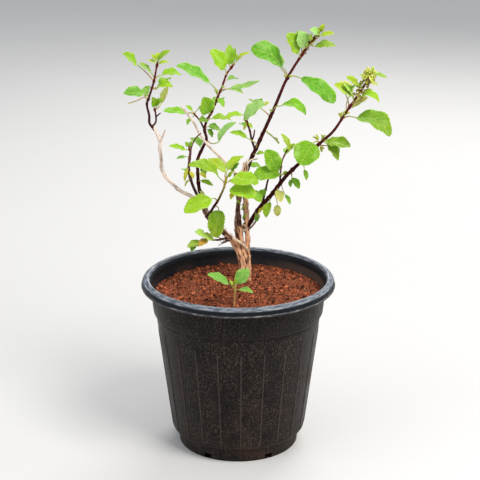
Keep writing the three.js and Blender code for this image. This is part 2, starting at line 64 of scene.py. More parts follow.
def mathNode(tree, operation, a, b=0.0):
    return addNode(tree, "ShaderNodeMath", {0: a, 1: b}, operation=operation).outputs[0]


def times(tree, a, b):
    return mathNode(tree, "MULTIPLY", a, b)


def plus(tree, a, b):
    return mathNode(tree, "ADD", a, b)


def minus(tree, a, b):
    return mathNode(tree, "SUBTRACT", a, b)


def combined(tree, **parts):
    return addNode(tree, "ShaderNodeCombineXYZ", parts).outputs[0]


def smoothStep(tree, value, low, high, fromValue=0.0, toValue=1.0):
    return addNode(tree, "ShaderNodeMapRange", {
        "Value": value, "From Min": low, "From Max": high, "To Min": fromValue, "To Max": toValue,
    }, interpolation_type="SMOOTHSTEP").outputs["Result"]


def mixColour(tree, factor, a, b, blend="MIX"):
    made = addNode(tree, "ShaderNodeMix", {0: factor, 6: a, 7: b}, data_type="RGBA", blend_type=blend)
    return made.outputs[2]


def layered(tree, colour, *layers):
    # each layer is how far it covers, and its colour
    for share, layer in layers:
        colour = mixColour(tree, share, colour, layer)
    return colour


def attribute(tree, name, output="Fac"):
    return addNode(tree, "ShaderNodeAttribute", attribute_name=name).outputs[output]


def stretched(tree, vector, scale):
    return addNode(tree, "ShaderNodeMapping", {"Vector": vector, "Scale": scale}).outputs["Vector"]


def objectPoint(tree, scale=(1.0, 1.0, 1.0)):
    return stretched(tree, addNode(tree, "ShaderNodeTexCoord").outputs["Object"], scale)


def noiseValue(tree, vector, scale, detail=3.0, roughness=0.55):
    return addNode(tree, "ShaderNodeTexNoise", {
        "Vector": vector, "Scale": scale, "Detail": detail, "Roughness": roughness,
    }).outputs["Fac"]


def newMaterial(name, roughness, specular):
    material = bpy.data.materials.new(name)
    material.use_nodes = True
    shader = material.node_tree.nodes["Principled BSDF"]
    shader.inputs["Roughness"].default_value = roughness
    shader.inputs["Specular IOR Level"].default_value = specular
    return material, material.node_tree, shader


def paint(tree, shader, colour, roughness=None, height=None, distance=0.001, strength=1.0):
    # colour, roughness and relief where they change over the surface
    plug(tree, shader.inputs["Base Color"], colour)
    if roughness is not None:
        plug(tree, shader.inputs["Roughness"], roughness)
    if height is not None:
        bump = addNode(tree, "ShaderNodeBump", {"Height": height, "Distance": distance, "Strength": strength})
        plug(tree, shader.inputs["Normal"], bump.outputs["Normal"])


def letLightIn(shader, weight, scale):
    shader.inputs["Subsurface Weight"].default_value = weight
    shader.inputs["Subsurface Scale"].default_value = scale


def newGroup(kind, name, inputs, outputs):
    # an input is given as its usual number, or as the kind of its socket
    tree = bpy.data.node_groups.new(name, kind)
    for label, value in inputs.items():
        socket = value if isinstance(value, str) else {int: "Int", float: "Float"}[type(value)]
        made = tree.interface.new_socket(label, in_out="INPUT", socket_type="NodeSocket" + socket)
        if value != socket:
            made.default_value = value
    for label, socket in outputs.items():
        tree.interface.new_socket(label, in_out="OUTPUT", socket_type="NodeSocket" + socket)
    return tree, addNode(tree, "NodeGroupInput").outputs, addNode(tree, "NodeGroupOutput").inputs


# effects that several materials share
def makeMottle():
    tree, given, out = newGroup("ShaderNodeTree", "mottle", {
        "Vector": "Vector", "Scale": 100.0, "Low": 0.4, "High": 0.6}, {"Mask": "Float", "Height": "Float"})
    cloud = noiseValue(tree, given["Vector"], given["Scale"], 4.0, 0.6)
    plug(tree, out["Mask"], smoothStep(tree, cloud, given["Low"], given["High"]))
    plug(tree, out["Height"], cloud)
    return tree


def makeDust():
    # fine settled dust: soft clouds broken up by grains, stronger where Amount is high
    tree, given, out = newGroup("ShaderNodeTree", "settledDust", {"Vector": "Vector", "Amount": 0.5},
                                {"Mask": "Float"})
    cloud = noiseValue(tree, given["Vector"], 45.0, 5.0, 0.65)
    grain = noiseValue(tree, given["Vector"], 900.0, 2.0, 0.7)
    both = plus(tree, times(tree, cloud, 0.75), times(tree, grain, 0.5))
    level = minus(tree, 0.86, times(tree, given["Amount"], 0.42))
    plug(tree, out["Mask"], smoothStep(tree, both, level, plus(tree, level, 0.2)))
    return tree


def makeVeinNet():
    # Phase counts side veins along the blade; Blade is (along, across, seed) in millimetres
    tree, given, out = newGroup("ShaderNodeTree", "veinNet", {"Phase": 0.0, "Blade": "Vector"},
                                {"Veins": "Float", "Cells": "Float"})
    turn = mathNode(tree, "FRACT", plus(tree, given["Phase"], 0.5))
    away = mathNode(tree, "ABSOLUTE", minus(tree, turn, 0.5))
    sideVein = smoothStep(tree, away, 0.02, 0.11, 1.0, 0.0)
    across = addNode(tree, "ShaderNodeSeparateXYZ", {0: given["Blade"]}).outputs["Y"]
    midrib = smoothStep(tree, mathNode(tree, "ABSOLUTE", across), 0.15, 0.55, 1.0, 0.0)
    plug(tree, out["Veins"], mathNode(tree, "MAXIMUM", sideVein, midrib))
    cell = addNode(tree, "ShaderNodeTexVoronoi", {"Vector": given["Blade"], "Scale": 0.75},
                   feature="DISTANCE_TO_EDGE").outputs["Distance"]
    plug(tree, out["Cells"], smoothStep(tree, cell, 0.02, 0.22))
    return tree


sharedGroups = {"mottle": makeMottle(), "settledDust": makeDust(), "veinNet": makeVeinNet()}


def mottled(tree, vector, scale, low, high):
    return addNode(tree, "ShaderNodeGroup", {"Vector": vector, "Scale": scale, "Low": low, "High": high},
                   node_tree=sharedGroups["mottle"]).outputs


def dusted(tree, vector, amount):
    return addNode(tree, "ShaderNodeGroup", {"Vector": vector, "Amount": amount},
                   node_tree=sharedGroups["settledDust"]).outputs["Mask"]


# routes, tubes and meshes
def unit(v):
    return v / np.maximum(np.linalg.norm(v, axis=-1, keepdims=True), 1e-9)


def smoothRoute(points, step):
    # a smooth curve through the points, and the distance along it, at even steps
    p = [np.array(q, float) for q in points]
    p = [2 * p[0] - p[1], *p, 2 * p[-1] - p[-2]]
    dense = []
    for a, b, c, d in zip(p, p[1:], p[2:], p[3:]):
        ab, bc, cd = (max(np.linalg.norm(n - m) ** 0.5, 1e-3) for m, n in ((a, b), (b, c), (c, d)))
        start = ((b - a) / ab - (c - a) / (ab + bc) + (c - b) / bc) * bc
        end = ((c - b) / bc - (d - b) / (bc + cd) + (d - c) / cd) * bc
        t = np.linspace(0, 1, 20, endpoint=False)[:, None]
        dense.append((2 * t**3 - 3 * t**2 + 1) * b + (t**3 - 2 * t**2 + t) * start
                     + (3 * t**2 - 2 * t**3) * c + (t**3 - t**2) * end)
    dense = np.vstack([*dense, p[-2][None]])
    run = np.concatenate([[0], np.cumsum(np.linalg.norm(np.diff(dense, axis=0), axis=1))])
    along = np.linspace(0, run[-1], max(2, round(run[-1] / step)) + 1)
    return np.column_stack([np.interp(along, run, dense[:, k]) for k in range(3)]), along


def framesAlong(path):
    heading = unit(np.gradient(path, axis=0))
    normals = [unit(np.cross(heading[0], (0.3, 0.9, 0.1)))]
    for turn in heading[1:]:
        normals.append(unit(normals[-1] - turn * (normals[-1] @ turn)))
    normals = np.array(normals)
    return heading, normals, np.cross(heading, normals)


def ringQuads(rows, sides):
    i, k = np.meshgrid(np.arange(rows - 1), np.arange(sides), indexing="ij")
    a, b = i * sides + k, i * sides + (k + 1) % sides
    return np.stack([a, b, b + sides, a + sides], -1).reshape(-1, 4).tolist()


def closedRings(rows, sides):
    # faces round rings of points, with a fan at each end to the two points that follow the rings
    k, last, low = np.arange(sides), (rows - 1) * sides, np.full(sides, rows * sides)
    ahead = (k + 1) % sides
    fans = np.vstack([np.stack([low, ahead, k], -1), np.stack([low + 1, last + k, last + ahead], -1)])
    return [*ringQuads(rows, sides), *fans.tolist()]


def tube(route, radii, step, sides, ripple=None):
    # a closed tube with a rounded tip; ripple(along, turn, radius) changes its radius
    path, along = smoothRoute(route, step)
    heading, normal, across = framesAlong(path)
    turn = np.linspace(0, 2 * np.pi, sides, endpoint=False)
    size = np.interp(along, np.linspace(0, along[-1], len(radii)), radii)[:, None]
    radius = size + (ripple(along[:, None], turn[None], size) if ripple else 0 * turn)
    radius = np.vstack([radius, 0.62 * radius[-1:]])
    path = np.vstack([path, path[-1] + heading[-1] * 0.6 * size[-1]])
    along = np.append(along, along[-1] + size[-1, 0])
    normal, across = np.vstack([normal, normal[-1:]]), np.vstack([across, across[-1:]])
    rings = path[:, None] + radius[..., None] * (np.cos(turn)[None, :, None] * normal[:, None]
                                                 + np.sin(turn)[None, :, None] * across[:, None])
    ends = [path[0], path[-1] + heading[-1] * 0.3 * size[-1]]
    flat, skinTurn = radius.reshape(-1), np.tile(turn, len(path))
    grain = np.column_stack([np.repeat(along, sides), flat * np.cos(skinTurn), flat * np.sin(skinTurn)])
    grain = np.vstack([grain, [[0, 0, 0], [along[-1], 0, 0]]])
    return {
        "points": np.vstack([rings.reshape(-1, 3), ends]),
        "faces": closedRings(len(path), sides),
        "values": {"grain": grain, "share": grain[:, 0] / along[-1]},
    }


def joined(parts):
    # one shape from several that carry the same kinds of value
    faces, start = [], 0
    for part in parts:
        faces += [[start + v for v in face] for face in part["faces"]]
        start += len(part["points"])
    made = {"points": np.vstack([part["points"] for part in parts]), "faces": faces, "values": {
        name: np.concatenate([np.asarray(part["values"][name], float) for part in parts])
        for name in parts[0]["values"]}}
    if "stuff" in parts[0]:
        made["stuff"] = [part["stuff"] for part in parts for _ in part["faces"]]
    return made


def addValues(mesh, values):
    kinds = {1: ("FLOAT", "value"), 3: ("FLOAT_VECTOR", "vector"), 4: ("FLOAT_COLOR", "color")}
    for name, value in values.items():
        kind, field = kinds[1 if value.ndim == 1 else value.shape[1]]
        layer = mesh.attributes.new(name, kind, "POINT")
        layer.data.foreach_set(field, np.ascontiguousarray(value, np.float32).ravel())


def newObject(name, data):
    made = bpy.data.objects.new(name, data)
    bpy.context.scene.collection.objects.link(made)
    return made


def newPiece(name, shape, materials):
    # stuff, where a shape has it, is each face's place in the list of materials
    mesh = bpy.data.meshes.new(name)
    mesh.from_pydata((np.asarray(shape["points"]) * mm).tolist(), [], shape["faces"])
    addValues(mesh, shape.get("values", {}))
    for material in materials:
        mesh.materials.append(material)
    if "stuff" in shape:
        mesh.polygons.foreach_set("material_index", shape["stuff"])
    smoothFaces(mesh)
    return newObject(name, mesh)


def smoothFaces(mesh):
    mesh.polygons.foreach_set("use_smooth", [True] * len(mesh.polygons))
    mesh.update()


def bakedMesh(piece):
    # the mesh that the piece's modifiers make
    bpy.context.view_layer.update()
    return bpy.data.meshes.new_from_object(piece.evaluated_get(bpy.context.evaluated_depsgraph_get()))


def finished(piece, slot, *nodes):
    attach(piece, "root")
    if nodes:
        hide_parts(*nodes)
    print(f"{piece.name}: {len(piece.data.polygons)} faces")


# Geometry Nodes: every tree takes a geometry, its own inputs and a material
def newTree(name, inputs):
    return newGroup("GeometryNodeTree", name, {"Geometry": "Geometry", **inputs, "Material": "Material"},
                    {"Geometry": "Geometry"})


def endTree(tree, geometry, given, out):
    real = addNode(tree, "GeometryNodeRealizeInstances", {"Geometry": geometry}).outputs[0]
    done = addNode(tree, "GeometryNodeSetMaterial", {"Geometry": real, "Material": given["Material"]})
    plug(tree, out["Geometry"], done.outputs[0])
    return tree


def spreadPoints(tree, given, **extra):
    return addNode(tree, "GeometryNodeDistributePointsOnFaces", {
        "Mesh": given["Geometry"], "Density": given["Density"], "Seed": given["Seed"], **extra}).outputs


def copiesOn(tree, points, shape, turn, size=(1.0, 1.0, 1.0)):
    return addNode(tree, "GeometryNodeInstanceOnPoints", {
        "Points": points, "Instance": shape, "Rotation": turn, "Scale": size}).outputs[0]


def chanceVector(tree, low, high, seed):
    made = addNode(tree, "FunctionNodeRandomValue", {0: low, 1: high, 8: seed}, data_type="FLOAT_VECTOR")
    return made.outputs[0]


def chanceNumber(tree, low, high, seed):
    made = addNode(tree, "FunctionNodeRandomValue", {2: low, 3: high, 8: seed}, data_type="FLOAT")
    return made.outputs[1]


def scaled(tree, vector, size):
    return addNode(tree, "ShaderNodeVectorMath", {0: vector, "Scale": size}, operation="SCALE").outputs[0]


def raisedTo(tree, direction):
    return addNode(tree, "FunctionNodeAlignEulerToVector", {
        "Rotation": (0, 0, 0), "Vector": direction}, axis="Z").outputs[0]


def turnedBy(tree, turn, more):
    return addNode(tree, "FunctionNodeRotateEuler", {0: turn, 1: more}, space="LOCAL").outputs[0]


def evenTurns(tree, count):
    # the number of each point, and its turn when they all share one round
    index = addNode(tree, "GeometryNodeInputIndex").outputs[0]
    return index, mathNode(tree, "DIVIDE", times(tree, index, 2 * math.pi), count)


def grown(name, carrier, tree, values):
    # runs a tree on a copy of the carrier and keeps the result as a plain mesh of its own
    helper = newObject(name + "Helper", carrier.data.copy())
    modifier = helper.modifiers.new(name, "NODES")
    modifier.node_group = tree
    for item in tree.interface.items_tree:
        if item.item_type == "SOCKET" and item.in_out == "INPUT" and item.name in values:
            modifier[item.identifier] = values[item.name]
    mesh = bakedMesh(helper)
    helper.modifiers.clear()
    bpy.data.objects.remove(helper)
    mesh.name = name
    return newObject(name, mesh)


leafForm = {
    "thickness": 0.32, "ribProud": 0.22, "ribWidth": 0.5, "narrowest": 0.12, "fullLength": 38,
    "smallBlade": 9.5, "largeBlade": 23.5, "bluntEnd": (0.92, 0.55), "pointedEnd": (0.85, 0.72),
    "rows": (0, 0.3, 0.62, 0.86), "smallRows": (0, 0.5, 0.85), "columns": 17, "smallColumns": 9,
    "toothLength": 3.1, "toothDepth": 0.95, "toothShare": 0.07, "toothMiddle": 0.45,
    "veins": 6.5, "veinGap": 1.6, "veinSlope": 0.75, "veinCurve": 0.35, "veinStagger": 0.35,
    "usualFold": 14, "quilt": 0.5, "wave": 0.06, "waves": 5, "ruffle": 0.11, "ruffles": (2.2, 2.6),
    "tintSpread": (0.9, 1.12), "tintShift": 0.06, "agedTint": (0.52, 0.50, 0.015),
}
stalkForm = {
    "radius": 0.62, "fullLength": 40, "step": 1.1, "sides": 8, "bend": 0.65, "droop": 0.4, "sunk": 0.3,
    "underBlade": (0.12, 0.35, 0.6, 0.85),
}
budForm = {
    "leaflets": ((0.22, 0.8, 20), (-0.2, 0.85, 35), (0.02, 0.6, 60)),  # lean, reach and tilt
    "foot": 0.3, "arch": 0.06, "fold": 38, "stalkEnd": 0.34,
}
# two tints are lighter copies of lime and pale: painted light for leaves that sit in shade or face away from
# the lamps
leafTints = {  # each tint before veins, edges and undersides, and how much its tips may yellow
    "mid": (0.195, 0.46, 0.008, 0.25), "plain": (0.165, 0.36, 0.012, 0.45), "grass": (0.11, 0.36, 0.014, 0.1),
    "deep": (0.11, 0.31, 0.006, 0.3), "lime": (0.27, 0.49, 0.004, 0.45), "bright": (0.34, 0.60, 0.010, 0.45),
    "young": (0.42, 0.56, 0.012, 0.45), "pale": (0.25, 0.47, 0.085, 0.45), "sea": (0.19, 0.46, 0.075, 0.1),
    "olive": (0.23, 0.38, 0.004, 0.45), "yellow": (0.74, 0.62, 0.05, 0), "straw": (0.72, 0.64, 0.22, 0),
    "rust": (0.62, 0.30, 0.045, 0), "bud": (0.60, 0.58, 0.12, 0), "fresh": (0.50, 0.70, 0.12, 0),
    "cool": (0.155, 0.42, 0.035, 0), "mist": (0.42, 0.70, 0.22, 0), "warm": (0.26, 0.46, 0.002, 0.45),
    "turning": (0.20, 0.36, 0.006, 0.45),
}
leafFinish = {
    "shade": (0.46, 0.64, 0.4), "lit": (0.58, 0.82, 0.30), "pale": (0.66, 0.80, 0.20),
    "under": (0.34, 0.56, 0.16), "veinPale": 0.62, "edgePale": 0.85, "relief": 0.00016,
    "stalkFlush": (0.42, 0.20, 0.09), "stalkRipe": (0.52, 0.36, 0.10), "stalkGreen": (0.55, 0.60, 0.18),
    "stalkRelief": 0.00012,
}
chance = np.random.default_rng(20871)


def nodeOf(route, height):
    # where a stem's middle passes a height, walking up from its root
    path, _ = smoothRoute(route, 0.5)
    for low, high in zip(path, path[1:]):
        if (low[2] - height) * (high[2] - height) <= 0 and low[2] != high[2]:
            return low + (high - low) * (height - low[2]) / (high[2] - low[2])
    return path[-1] if abs(path[-1][2] - height) < abs(path[0][2] - height) else path[0]


def bladeFrame(base, tip, tilt):
    # which way the blade runs, its length, the way it faces, and the way across it
    along = np.array(tip, float) - base
    length = np.linalg.norm(along)
    along = along / length
    lean = math.radians(tilt)
    face = np.array([0, -math.sin(lean), math.cos(lean)])
    face = unit(face - along * (face @ along))
    return along, length, face, np.cross(along, face)


def midribAt(base, along, length, face, arch, u):
    u = np.asarray(u, float)[..., None]
    return base + along * length * u + face * 4 * arch * length * u * (1 - u)


def bladeFaces(rows, columns):
    i, j = np.meshgrid(np.arange(rows - 1), np.arange(columns - 1), indexing="ij")
    a = i * columns + j
    top = np.stack([a, a + 1, a + columns + 1, a + columns], -1).reshape(-1, 4)
    below = rows * columns
    n, m, last = np.arange(rows - 1) * columns, np.arange(columns - 1), (rows - 1) * columns
    far = n + columns - 1
    rim = [(n, n + columns), (far + columns, far), (m + 1, m), (last + m, last + m + 1)]
    rim = [np.stack([a, b, below + b, below + a], -1) for a, b in rim]
    return np.vstack([top, top[:, ::-1] + below, *rim]).tolist()


def bladeOutline(length, width, peak):
    # the rows' places along the leaf from 0 to 1, its half width there, and how far the teeth stand out
    f = leafForm
    teeth = max(4, round(length / f["toothLength"]))
    rise = f["smallRows" if length < f["smallBlade"] else "rows"]
    u = np.array([(t + step) / teeth for t in range(teeth) for step in rise] + [1.0])
    tooth = np.array([step for t in range(teeth) for step in rise] + [0.0])
    skew, power = (peak, 0.5) if peak else f["bluntEnd"] if length > f["largeBlade"] else f["pointedEnd"]
    profile = np.sin(np.pi * u**skew) ** power
    profile[-1] = 0
    half = np.maximum(0.5 * width * profile, f["narrowest"])
    outer = min(f["toothDepth"], f["toothShare"] * width) * (tooth - f["toothMiddle"]) * profile ** 0.5
    return u, half, outer


def bladeTint(tint, u, x, start):
    # each leaf's own shade of its tint, yellowing towards the tip
    f = leafForm
    *colour, ageing = leafTints[tint]
    colour = np.array(colour) * chance.uniform(*f["tintSpread"])
    colour = colour * (1 + chance.uniform(-f["tintShift"], f["tintShift"], 3))
    ripe = ageing * max(chance.uniform(0, 1) ** 2, 1.0 * (tint == "turning"))
    aged = ripe * np.clip(1.7 * u[:, None] - 0.75 + 0.2 * np.sin(1.1 * x + start), 0, 1)
    aged = np.repeat(aged.reshape(-1, 1), 3, 1)
    return np.column_stack([colour * (1 - aged) + np.array(f["agedTint"]) * aged, np.ones(x.size)])


def blade(base, tip, width, tilt, arch, fold, tint, peak=0.0):
    # u runs along the leaf from 0 to 1, v across it from -1 to 1, and x across it in millimetres
    f = leafForm
    along, length, face, side = bladeFrame(base, tip, tilt)
    u, half, outer = bladeOutline(length, width, peak)
    v = np.linspace(-1, 1, f["smallColumns" if length < f["smallBlade"] else "columns"])
    flutter = chance.uniform(0, 2 * np.pi, 4)
    x = v[None] * half[:, None] + np.sign(v)[None] * np.abs(v)[None] ** 8 * outer[:, None]
    s = (u * length)[:, None] + 0 * x
    reach = np.abs(x)

    # side veins curve forward, and stand staggered across the midrib
    spacing = max(length / f["veins"], f["veinGap"])
    phase = s - f["veinSlope"] * reach - f["veinCurve"] * reach**2 / (0.5 * width)
    phase = (phase + np.where(x < 0, f["veinStagger"], 0) * spacing) / spacing
    scale = min(1.0, length / f["fullLength"])
    bulge = np.sin(np.pi * phase) ** 2 * (1 - np.exp(-reach / 1.2)) * (1 - np.abs(v)[None] ** 6)
    lift = reach * math.tan(math.radians(fold)) * (0.75 + 0.25 * np.abs(v)[None])
    lift += v[None] * f["wave"] * half[:, None] * np.sin(f["waves"] * u + length)[:, None]
    ruffles = [np.sin(2 * np.pi * often * u[:, None] + start) for often, start in zip(f["ruffles"], flutter)]
    lift += f["ruffle"] * half[:, None] * v[None] ** 2 * np.where(x < 0, *ruffles)
    lift += f["quilt"] * scale * bulge

    up = unit(along * -4 * arch * (1 - 2 * u)[:, None] + face)
    centre = midribAt(base, along, length, face, arch, u)
    upper = centre[:, None] + side * x[..., None] + up[:, None] * lift[..., None]
    normal = unit(np.cross(np.gradient(upper, axis=1), np.gradient(upper, axis=0)))
    normal[0], normal[-1] = normal[1], normal[-2]
    rib = np.exp(-(reach / f["ribWidth"]) ** 2) * (1 - 0.8 * u)[:, None]
    rib = rib + 0.3 * np.cos(np.pi * phase) ** 12 * (1 - np.abs(v)[None])
    thick = f["thickness"] * (1 - 0.55 * np.abs(v)[None] ** 4) + f["ribProud"] * rib * max(scale, 0.4)
    lower = upper - normal * thick[..., None]

    count = x.size
    flat = np.stack([s, x, 0 * x + chance.uniform(0, 60)], -1).reshape(-1, 3)
    shade = bladeTint(tint, u, x, flutter[2])
    edge = np.maximum(np.abs(v)[None] + 0 * x, np.clip((u[:, None] - 0.9) * 10, 0, 1))
    return {
        "points": np.vstack([upper.reshape(-1, 3), lower.reshape(-1, 3)]),
        "faces": bladeFaces(*x.shape), "stuff": 0,
        "values": {
            "blade": np.tile(flat, (2, 1)), "veinPhase": np.tile(phase.ravel(), 2),
            "edge": np.tile(edge.ravel(), 2), "under": np.repeat([0.0, 1.0], count),
            "tint": np.tile(shade, (2, 1)),
        },
    }


def stalk(route, base, tip, height, tilt, arch, tint):
    # the leaf's stalk from inside the stem to the blade, and on as the midrib under it
    f = stalkForm
    along, length, face, _ = bladeFrame(base, tip, tilt)
    node = nodeOf(route, height)
    reach = np.linalg.norm(base - node)
    bend = f["bend"] * (base - along * f["droop"] * reach) + (1 - f["bend"]) * node
    under = [midribAt(base, along, length, face, arch, u) - face * f["sunk"] for u in f["underBlade"]]
    points = [node, base] if reach < 2 else [node, bend, base]
    full = [*points, *under]
    total = np.concatenate([[0], np.cumsum([np.linalg.norm(b - a) for a, b in zip(full, full[1:])])])
    here = total[len(points) - 1] / total[-1]  # the share of the way at which the blade begins
    size = f["radius"] * min(1.0, 0.45 + length / f["fullLength"])
    radii = np.interp(np.linspace(0, 1, 12), [0, 0.5 * here, here, here + 0.15, 1],
                      [size * 1.25, size, size * 0.92, size * 0.55, 0.12])
    made = tube(full, radii, f["step"], f["sides"])
    count = len(made["points"])
    return {**made, "stuff": 1, "values": {
        "blade": made["values"]["grain"], "veinPhase": np.zeros(count),
        "edge": np.clip(made["values"]["share"] / here, 0, 1), "under": np.zeros(count),
        "tint": np.tile([*leafTints[tint][:3], 1.0], (count, 1)),
    }}


def leaf(route, row):
    height, base, tip, width, tilt, arch, tint, *rest = row
    fold, peak = [*rest, *(leafForm["usualFold"], 0.0)[len(rest):]]
    base, tip = np.array(base, float), np.array(tip, float)
    return [blade(base, tip, width, tilt, arch, fold, tint, peak),
            stalk(route, base, tip, height, tilt, arch, tint)]


def bud(route, height, point):
    # two folded leaflets and a smaller one between them, at the foot of a leaf
    f = budForm
    node = nodeOf(route, height)
    point = np.array(point, float)
    out = point - node
    across = unit(np.cross(out, (0.2, 1, 0.3)))
    made = []
    for lean, reach, tilt in f["leaflets"]:
        start = node + f["foot"] * out
        end = node + out * reach + across * lean * np.linalg.norm(out)
        size = np.linalg.norm(end - start)
        made.append(blade(start, end, 0.36 * size + 0.5, tilt, f["arch"], f["fold"], "bud"))
    end = node + f["stalkEnd"] * out
    made.append(stalk([node, end], end, point, node[2], 20, 0, "bud"))
    return made


def makeBladeMaterial():
    f = leafFinish
    material, tree, shader = newMaterial("leafBlade", 0.5, 0.09)
    tint, place = attribute(tree, "tint", "Color"), attribute(tree, "blade", "Vector")
    under = attribute(tree, "under")
    net = addNode(tree, "ShaderNodeGroup", {"Phase": attribute(tree, "veinPhase"), "Blade": place},
                  node_tree=sharedGroups["veinNet"]).outputs
    patch = mottled(tree, place, 0.22, 0.32, 0.68)
    glint = mottled(tree, stretched(tree, place, (0.6, 1.0, 1.0)), 0.15, 0.48, 0.66)
    pale = mixColour(tree, 0.5, tint, f["pale"])
    colour = layered(
        tree, tint,
        (times(tree, patch["Mask"], 0.6), mixColour(tree, 1.0, tint, f["shade"], "MULTIPLY")),
        (times(tree, glint["Mask"], 0.6), mixColour(tree, 0.5, tint, f["lit"])),
        (times(tree, minus(tree, 1.0, net["Cells"]), 0.22), pale),
        (times(tree, net["Veins"], f["veinPale"]), pale),
        (smoothStep(tree, attribute(tree, "edge"), 0.86, 1.0, 0.0, f["edgePale"]), pale),
        (times(tree, under, 0.55), f["under"]),
    )
    sunk = times(tree, net["Veins"], minus(tree, times(tree, under, 2.0), 1.0))
    height = plus(tree, times(tree, net["Cells"], 0.4), sunk)
    height = plus(tree, height, times(tree, noiseValue(tree, place, 3.2, 3.0), 0.35))
    paint(tree, shader, colour, smoothStep(tree, patch["Height"], 0.2, 0.8, 0.38, 0.56), height, f["relief"])
    letLightIn(shader, 0.3, 0.0012)
    shader.inputs["Subsurface Radius"].default_value = (0.6, 1.0, 0.08)
    return material


def makeStalkMaterial():
    f = leafFinish
    material, tree, shader = newMaterial("leafStalk", 0.5, 0.4)
    tint, place = attribute(tree, "tint", "Color"), attribute(tree, "blade", "Vector")
    flushed = mixColour(tree, mottled(tree, place, 0.5, 0.35, 0.7)["Mask"], f["stalkFlush"], f["stalkRipe"])
    toward = smoothStep(tree, attribute(tree, "edge"), 0.25, 0.95)
    colour = mixColour(tree, toward, flushed, mixColour(tree, 0.45, tint, f["stalkGreen"]))
    paint(tree, shader, colour, None, noiseValue(tree, place, 1.4, 3.0), f["stalkRelief"])
    letLightIn(shader, 0.15, 0.001)
    return material


leafStuff = [makeBladeMaterial(), makeStalkMaterial()]


potForm = {
    "segments": 240, "floorLow": 5.5, "floorHigh": 7.5, "hub": 12, "creaseAngle": 48,
    "ledge": (70.6, 18), "shoulder": (86.5, 143.2), "innerLedge": (69, 19.4), "innerShoulder": (85, 145.4),
    "ribCount": 22, "ribOffset": 2, "ribWidth": 2.3, "ribProud": 0.55, "ribLow": 19.5, "ribHigh": 133,
    "notchCount": 6, "notchOffset": 30, "notchWidth": 8.5, "notchHeight": 5.5, "notchSill": 0.4,
    "notchReach": (56, 66), "holeRadius": 4, "holeRing": 50, "holeReach": (3, 10),
}
potFinish = {  # colours, and the heights and radii in metres between which one finish passes into the next
    "plastic": (0.0040, 0.0036, 0.0038), "soot": (0.0085, 0.0070, 0.0066), "streak": (0.031, 0.024, 0.021),
    "scratch": (0.075, 0.062, 0.052), "grain": (0.080, 0.055, 0.043), "ribCrestDustAndHighlight": (0.085, 0.066, 0.055),
    "dust": (0.056, 0.033, 0.025), "speck": (0.28, 0.19, 0.13),
    # the lighter lining on the +X side is painted light
    "lining": (0.021, 0.024, 0.029), "caked": (0.082, 0.053, 0.040), "paintedLitLining": (0.14, 0.105, 0.088),
    "liningHeight": (0.158, 0.162), "liningRadius": (0.0903, 0.0897), "cakedHeight": (0.176, 0.163),
    "paintedLitLiningSide": (0.03, 0.085), "dustHeight": (0.15, 0.0), "collarHeight": (0.138, 0.150),
    # the rim's colours below are painted light: painted highlights on the bead, slope and crest, and painted
    # shade on the upright band
    "lipHeight": (0.1745, 0.1775), "rimGap": (0.012, 0.016, 0.022), "gapRadius": (0.094, 0.096),
    "rimBand": (0.007, 0.009, 0.013), "bandHeight": (0.1764, 0.1776), "slopeHeight": (0.1806, 0.1818),
    "crestRadius": (0.0955, 0.0949), "crestHeight": (0.1830, 0.1838),
    "bead": (0.44, 0.64, (0.060, 0.066, 0.080), (0.42, 0.40, 0.40)),  # the noise levels over which the painted highlight comes in, the colour with less painted light, and with the most
    "slope": (0.36, 0.70, (0.082, 0.100, 0.128), (0.34, 0.37, 0.42)),
    "crest": (0.38, 0.62, (0.18, 0.21, 0.25), (0.62, 0.66, 0.72)),
}


def roundedProfile(corners):
    # (radius, height, size of the rounding) for each corner; a rounding is a short smooth arc
    made = []
    for k, (r, z, size) in enumerate(corners):
        here = np.array([r, z], float)
        if not size:
            made.append(here)
            continue
        arms = []
        for other in (corners[k - 1], corners[k + 1]):
            arm = np.array(other[:2], float) - here
            arms.append(here + arm * min(size / np.linalg.norm(arm), 0.48))
        for t in np.linspace(0, 1, 5):
            made.append((1 - t) ** 2 * arms[0] + 2 * t * (1 - t) * here + t**2 * arms[1])
    return np.array(made)


def lathe(profile, segments):
    # a closed body round the axis, from a profile that starts and ends on it
    ring = profile[1:-1]
    turn = np.linspace(0, 2 * np.pi, segments, endpoint=False)
    points = np.stack([ring[:, None, 0] * np.cos(turn), ring[:, None, 0] * np.sin(turn),
                       ring[:, None, 1] + 0 * turn], -1).reshape(-1, 3)
    ends = [[0, 0, profile[0, 1]], [0, 0, profile[-1, 1]]]
    return {"points": np.vstack([points, ends]), "faces": closedRings(len(ring), segments)}


def potProfile():
    f = potForm
    return roundedProfile([
        (0, 0, 0), (f["hub"], 0, 1), (f["hub"] + 1, f["floorLow"], 1), (53.4, f["floorLow"], 1), (54, 0, 0.4),
        (63.4, 0, 0.6), (64.7, 15.9, 0.6), (69.2, 16.2, 0.5), (*f["ledge"], 0.7), (*f["shoulder"], 0.5),
        (86.1, 145.1, 0.5), (88.4, 146.3, 0.5), (89.2, 147.6, 0.8), (90.2, 156, 3), (91.2, 178.4, 1),
        (98.8, 178.4, 0.8), (99.6, 174.7, 0.5), (101.2, 174.6, 0.6), (101.7, 176.2, 0.6), (100.8, 177.9, 0.5),
        (100.5, 180.4, 0.8), (99.7, 181.7, 0.7), (96.6, 184, 1), (94.9, 184.4, 0.5), (93.6, 183.2, 0.5),
        (92.4, 180.6, 2.5), (90.2, 177.5, 6), (87.8, 150, 2), (*f["innerShoulder"], 1.5),
        (*f["innerLedge"], 1), (67.9, 17.9, 0.5), (63.2, 17.4, 0.5), (62.4, f["floorHigh"], 1),
        (0, f["floorHigh"], 0),
    ])


def bodyRadius(height):
    (r0, z0), (r1, z1) = potForm["ledge"], potForm["shoulder"]
    return np.interp(height, (z0, z1), (r0, r1))


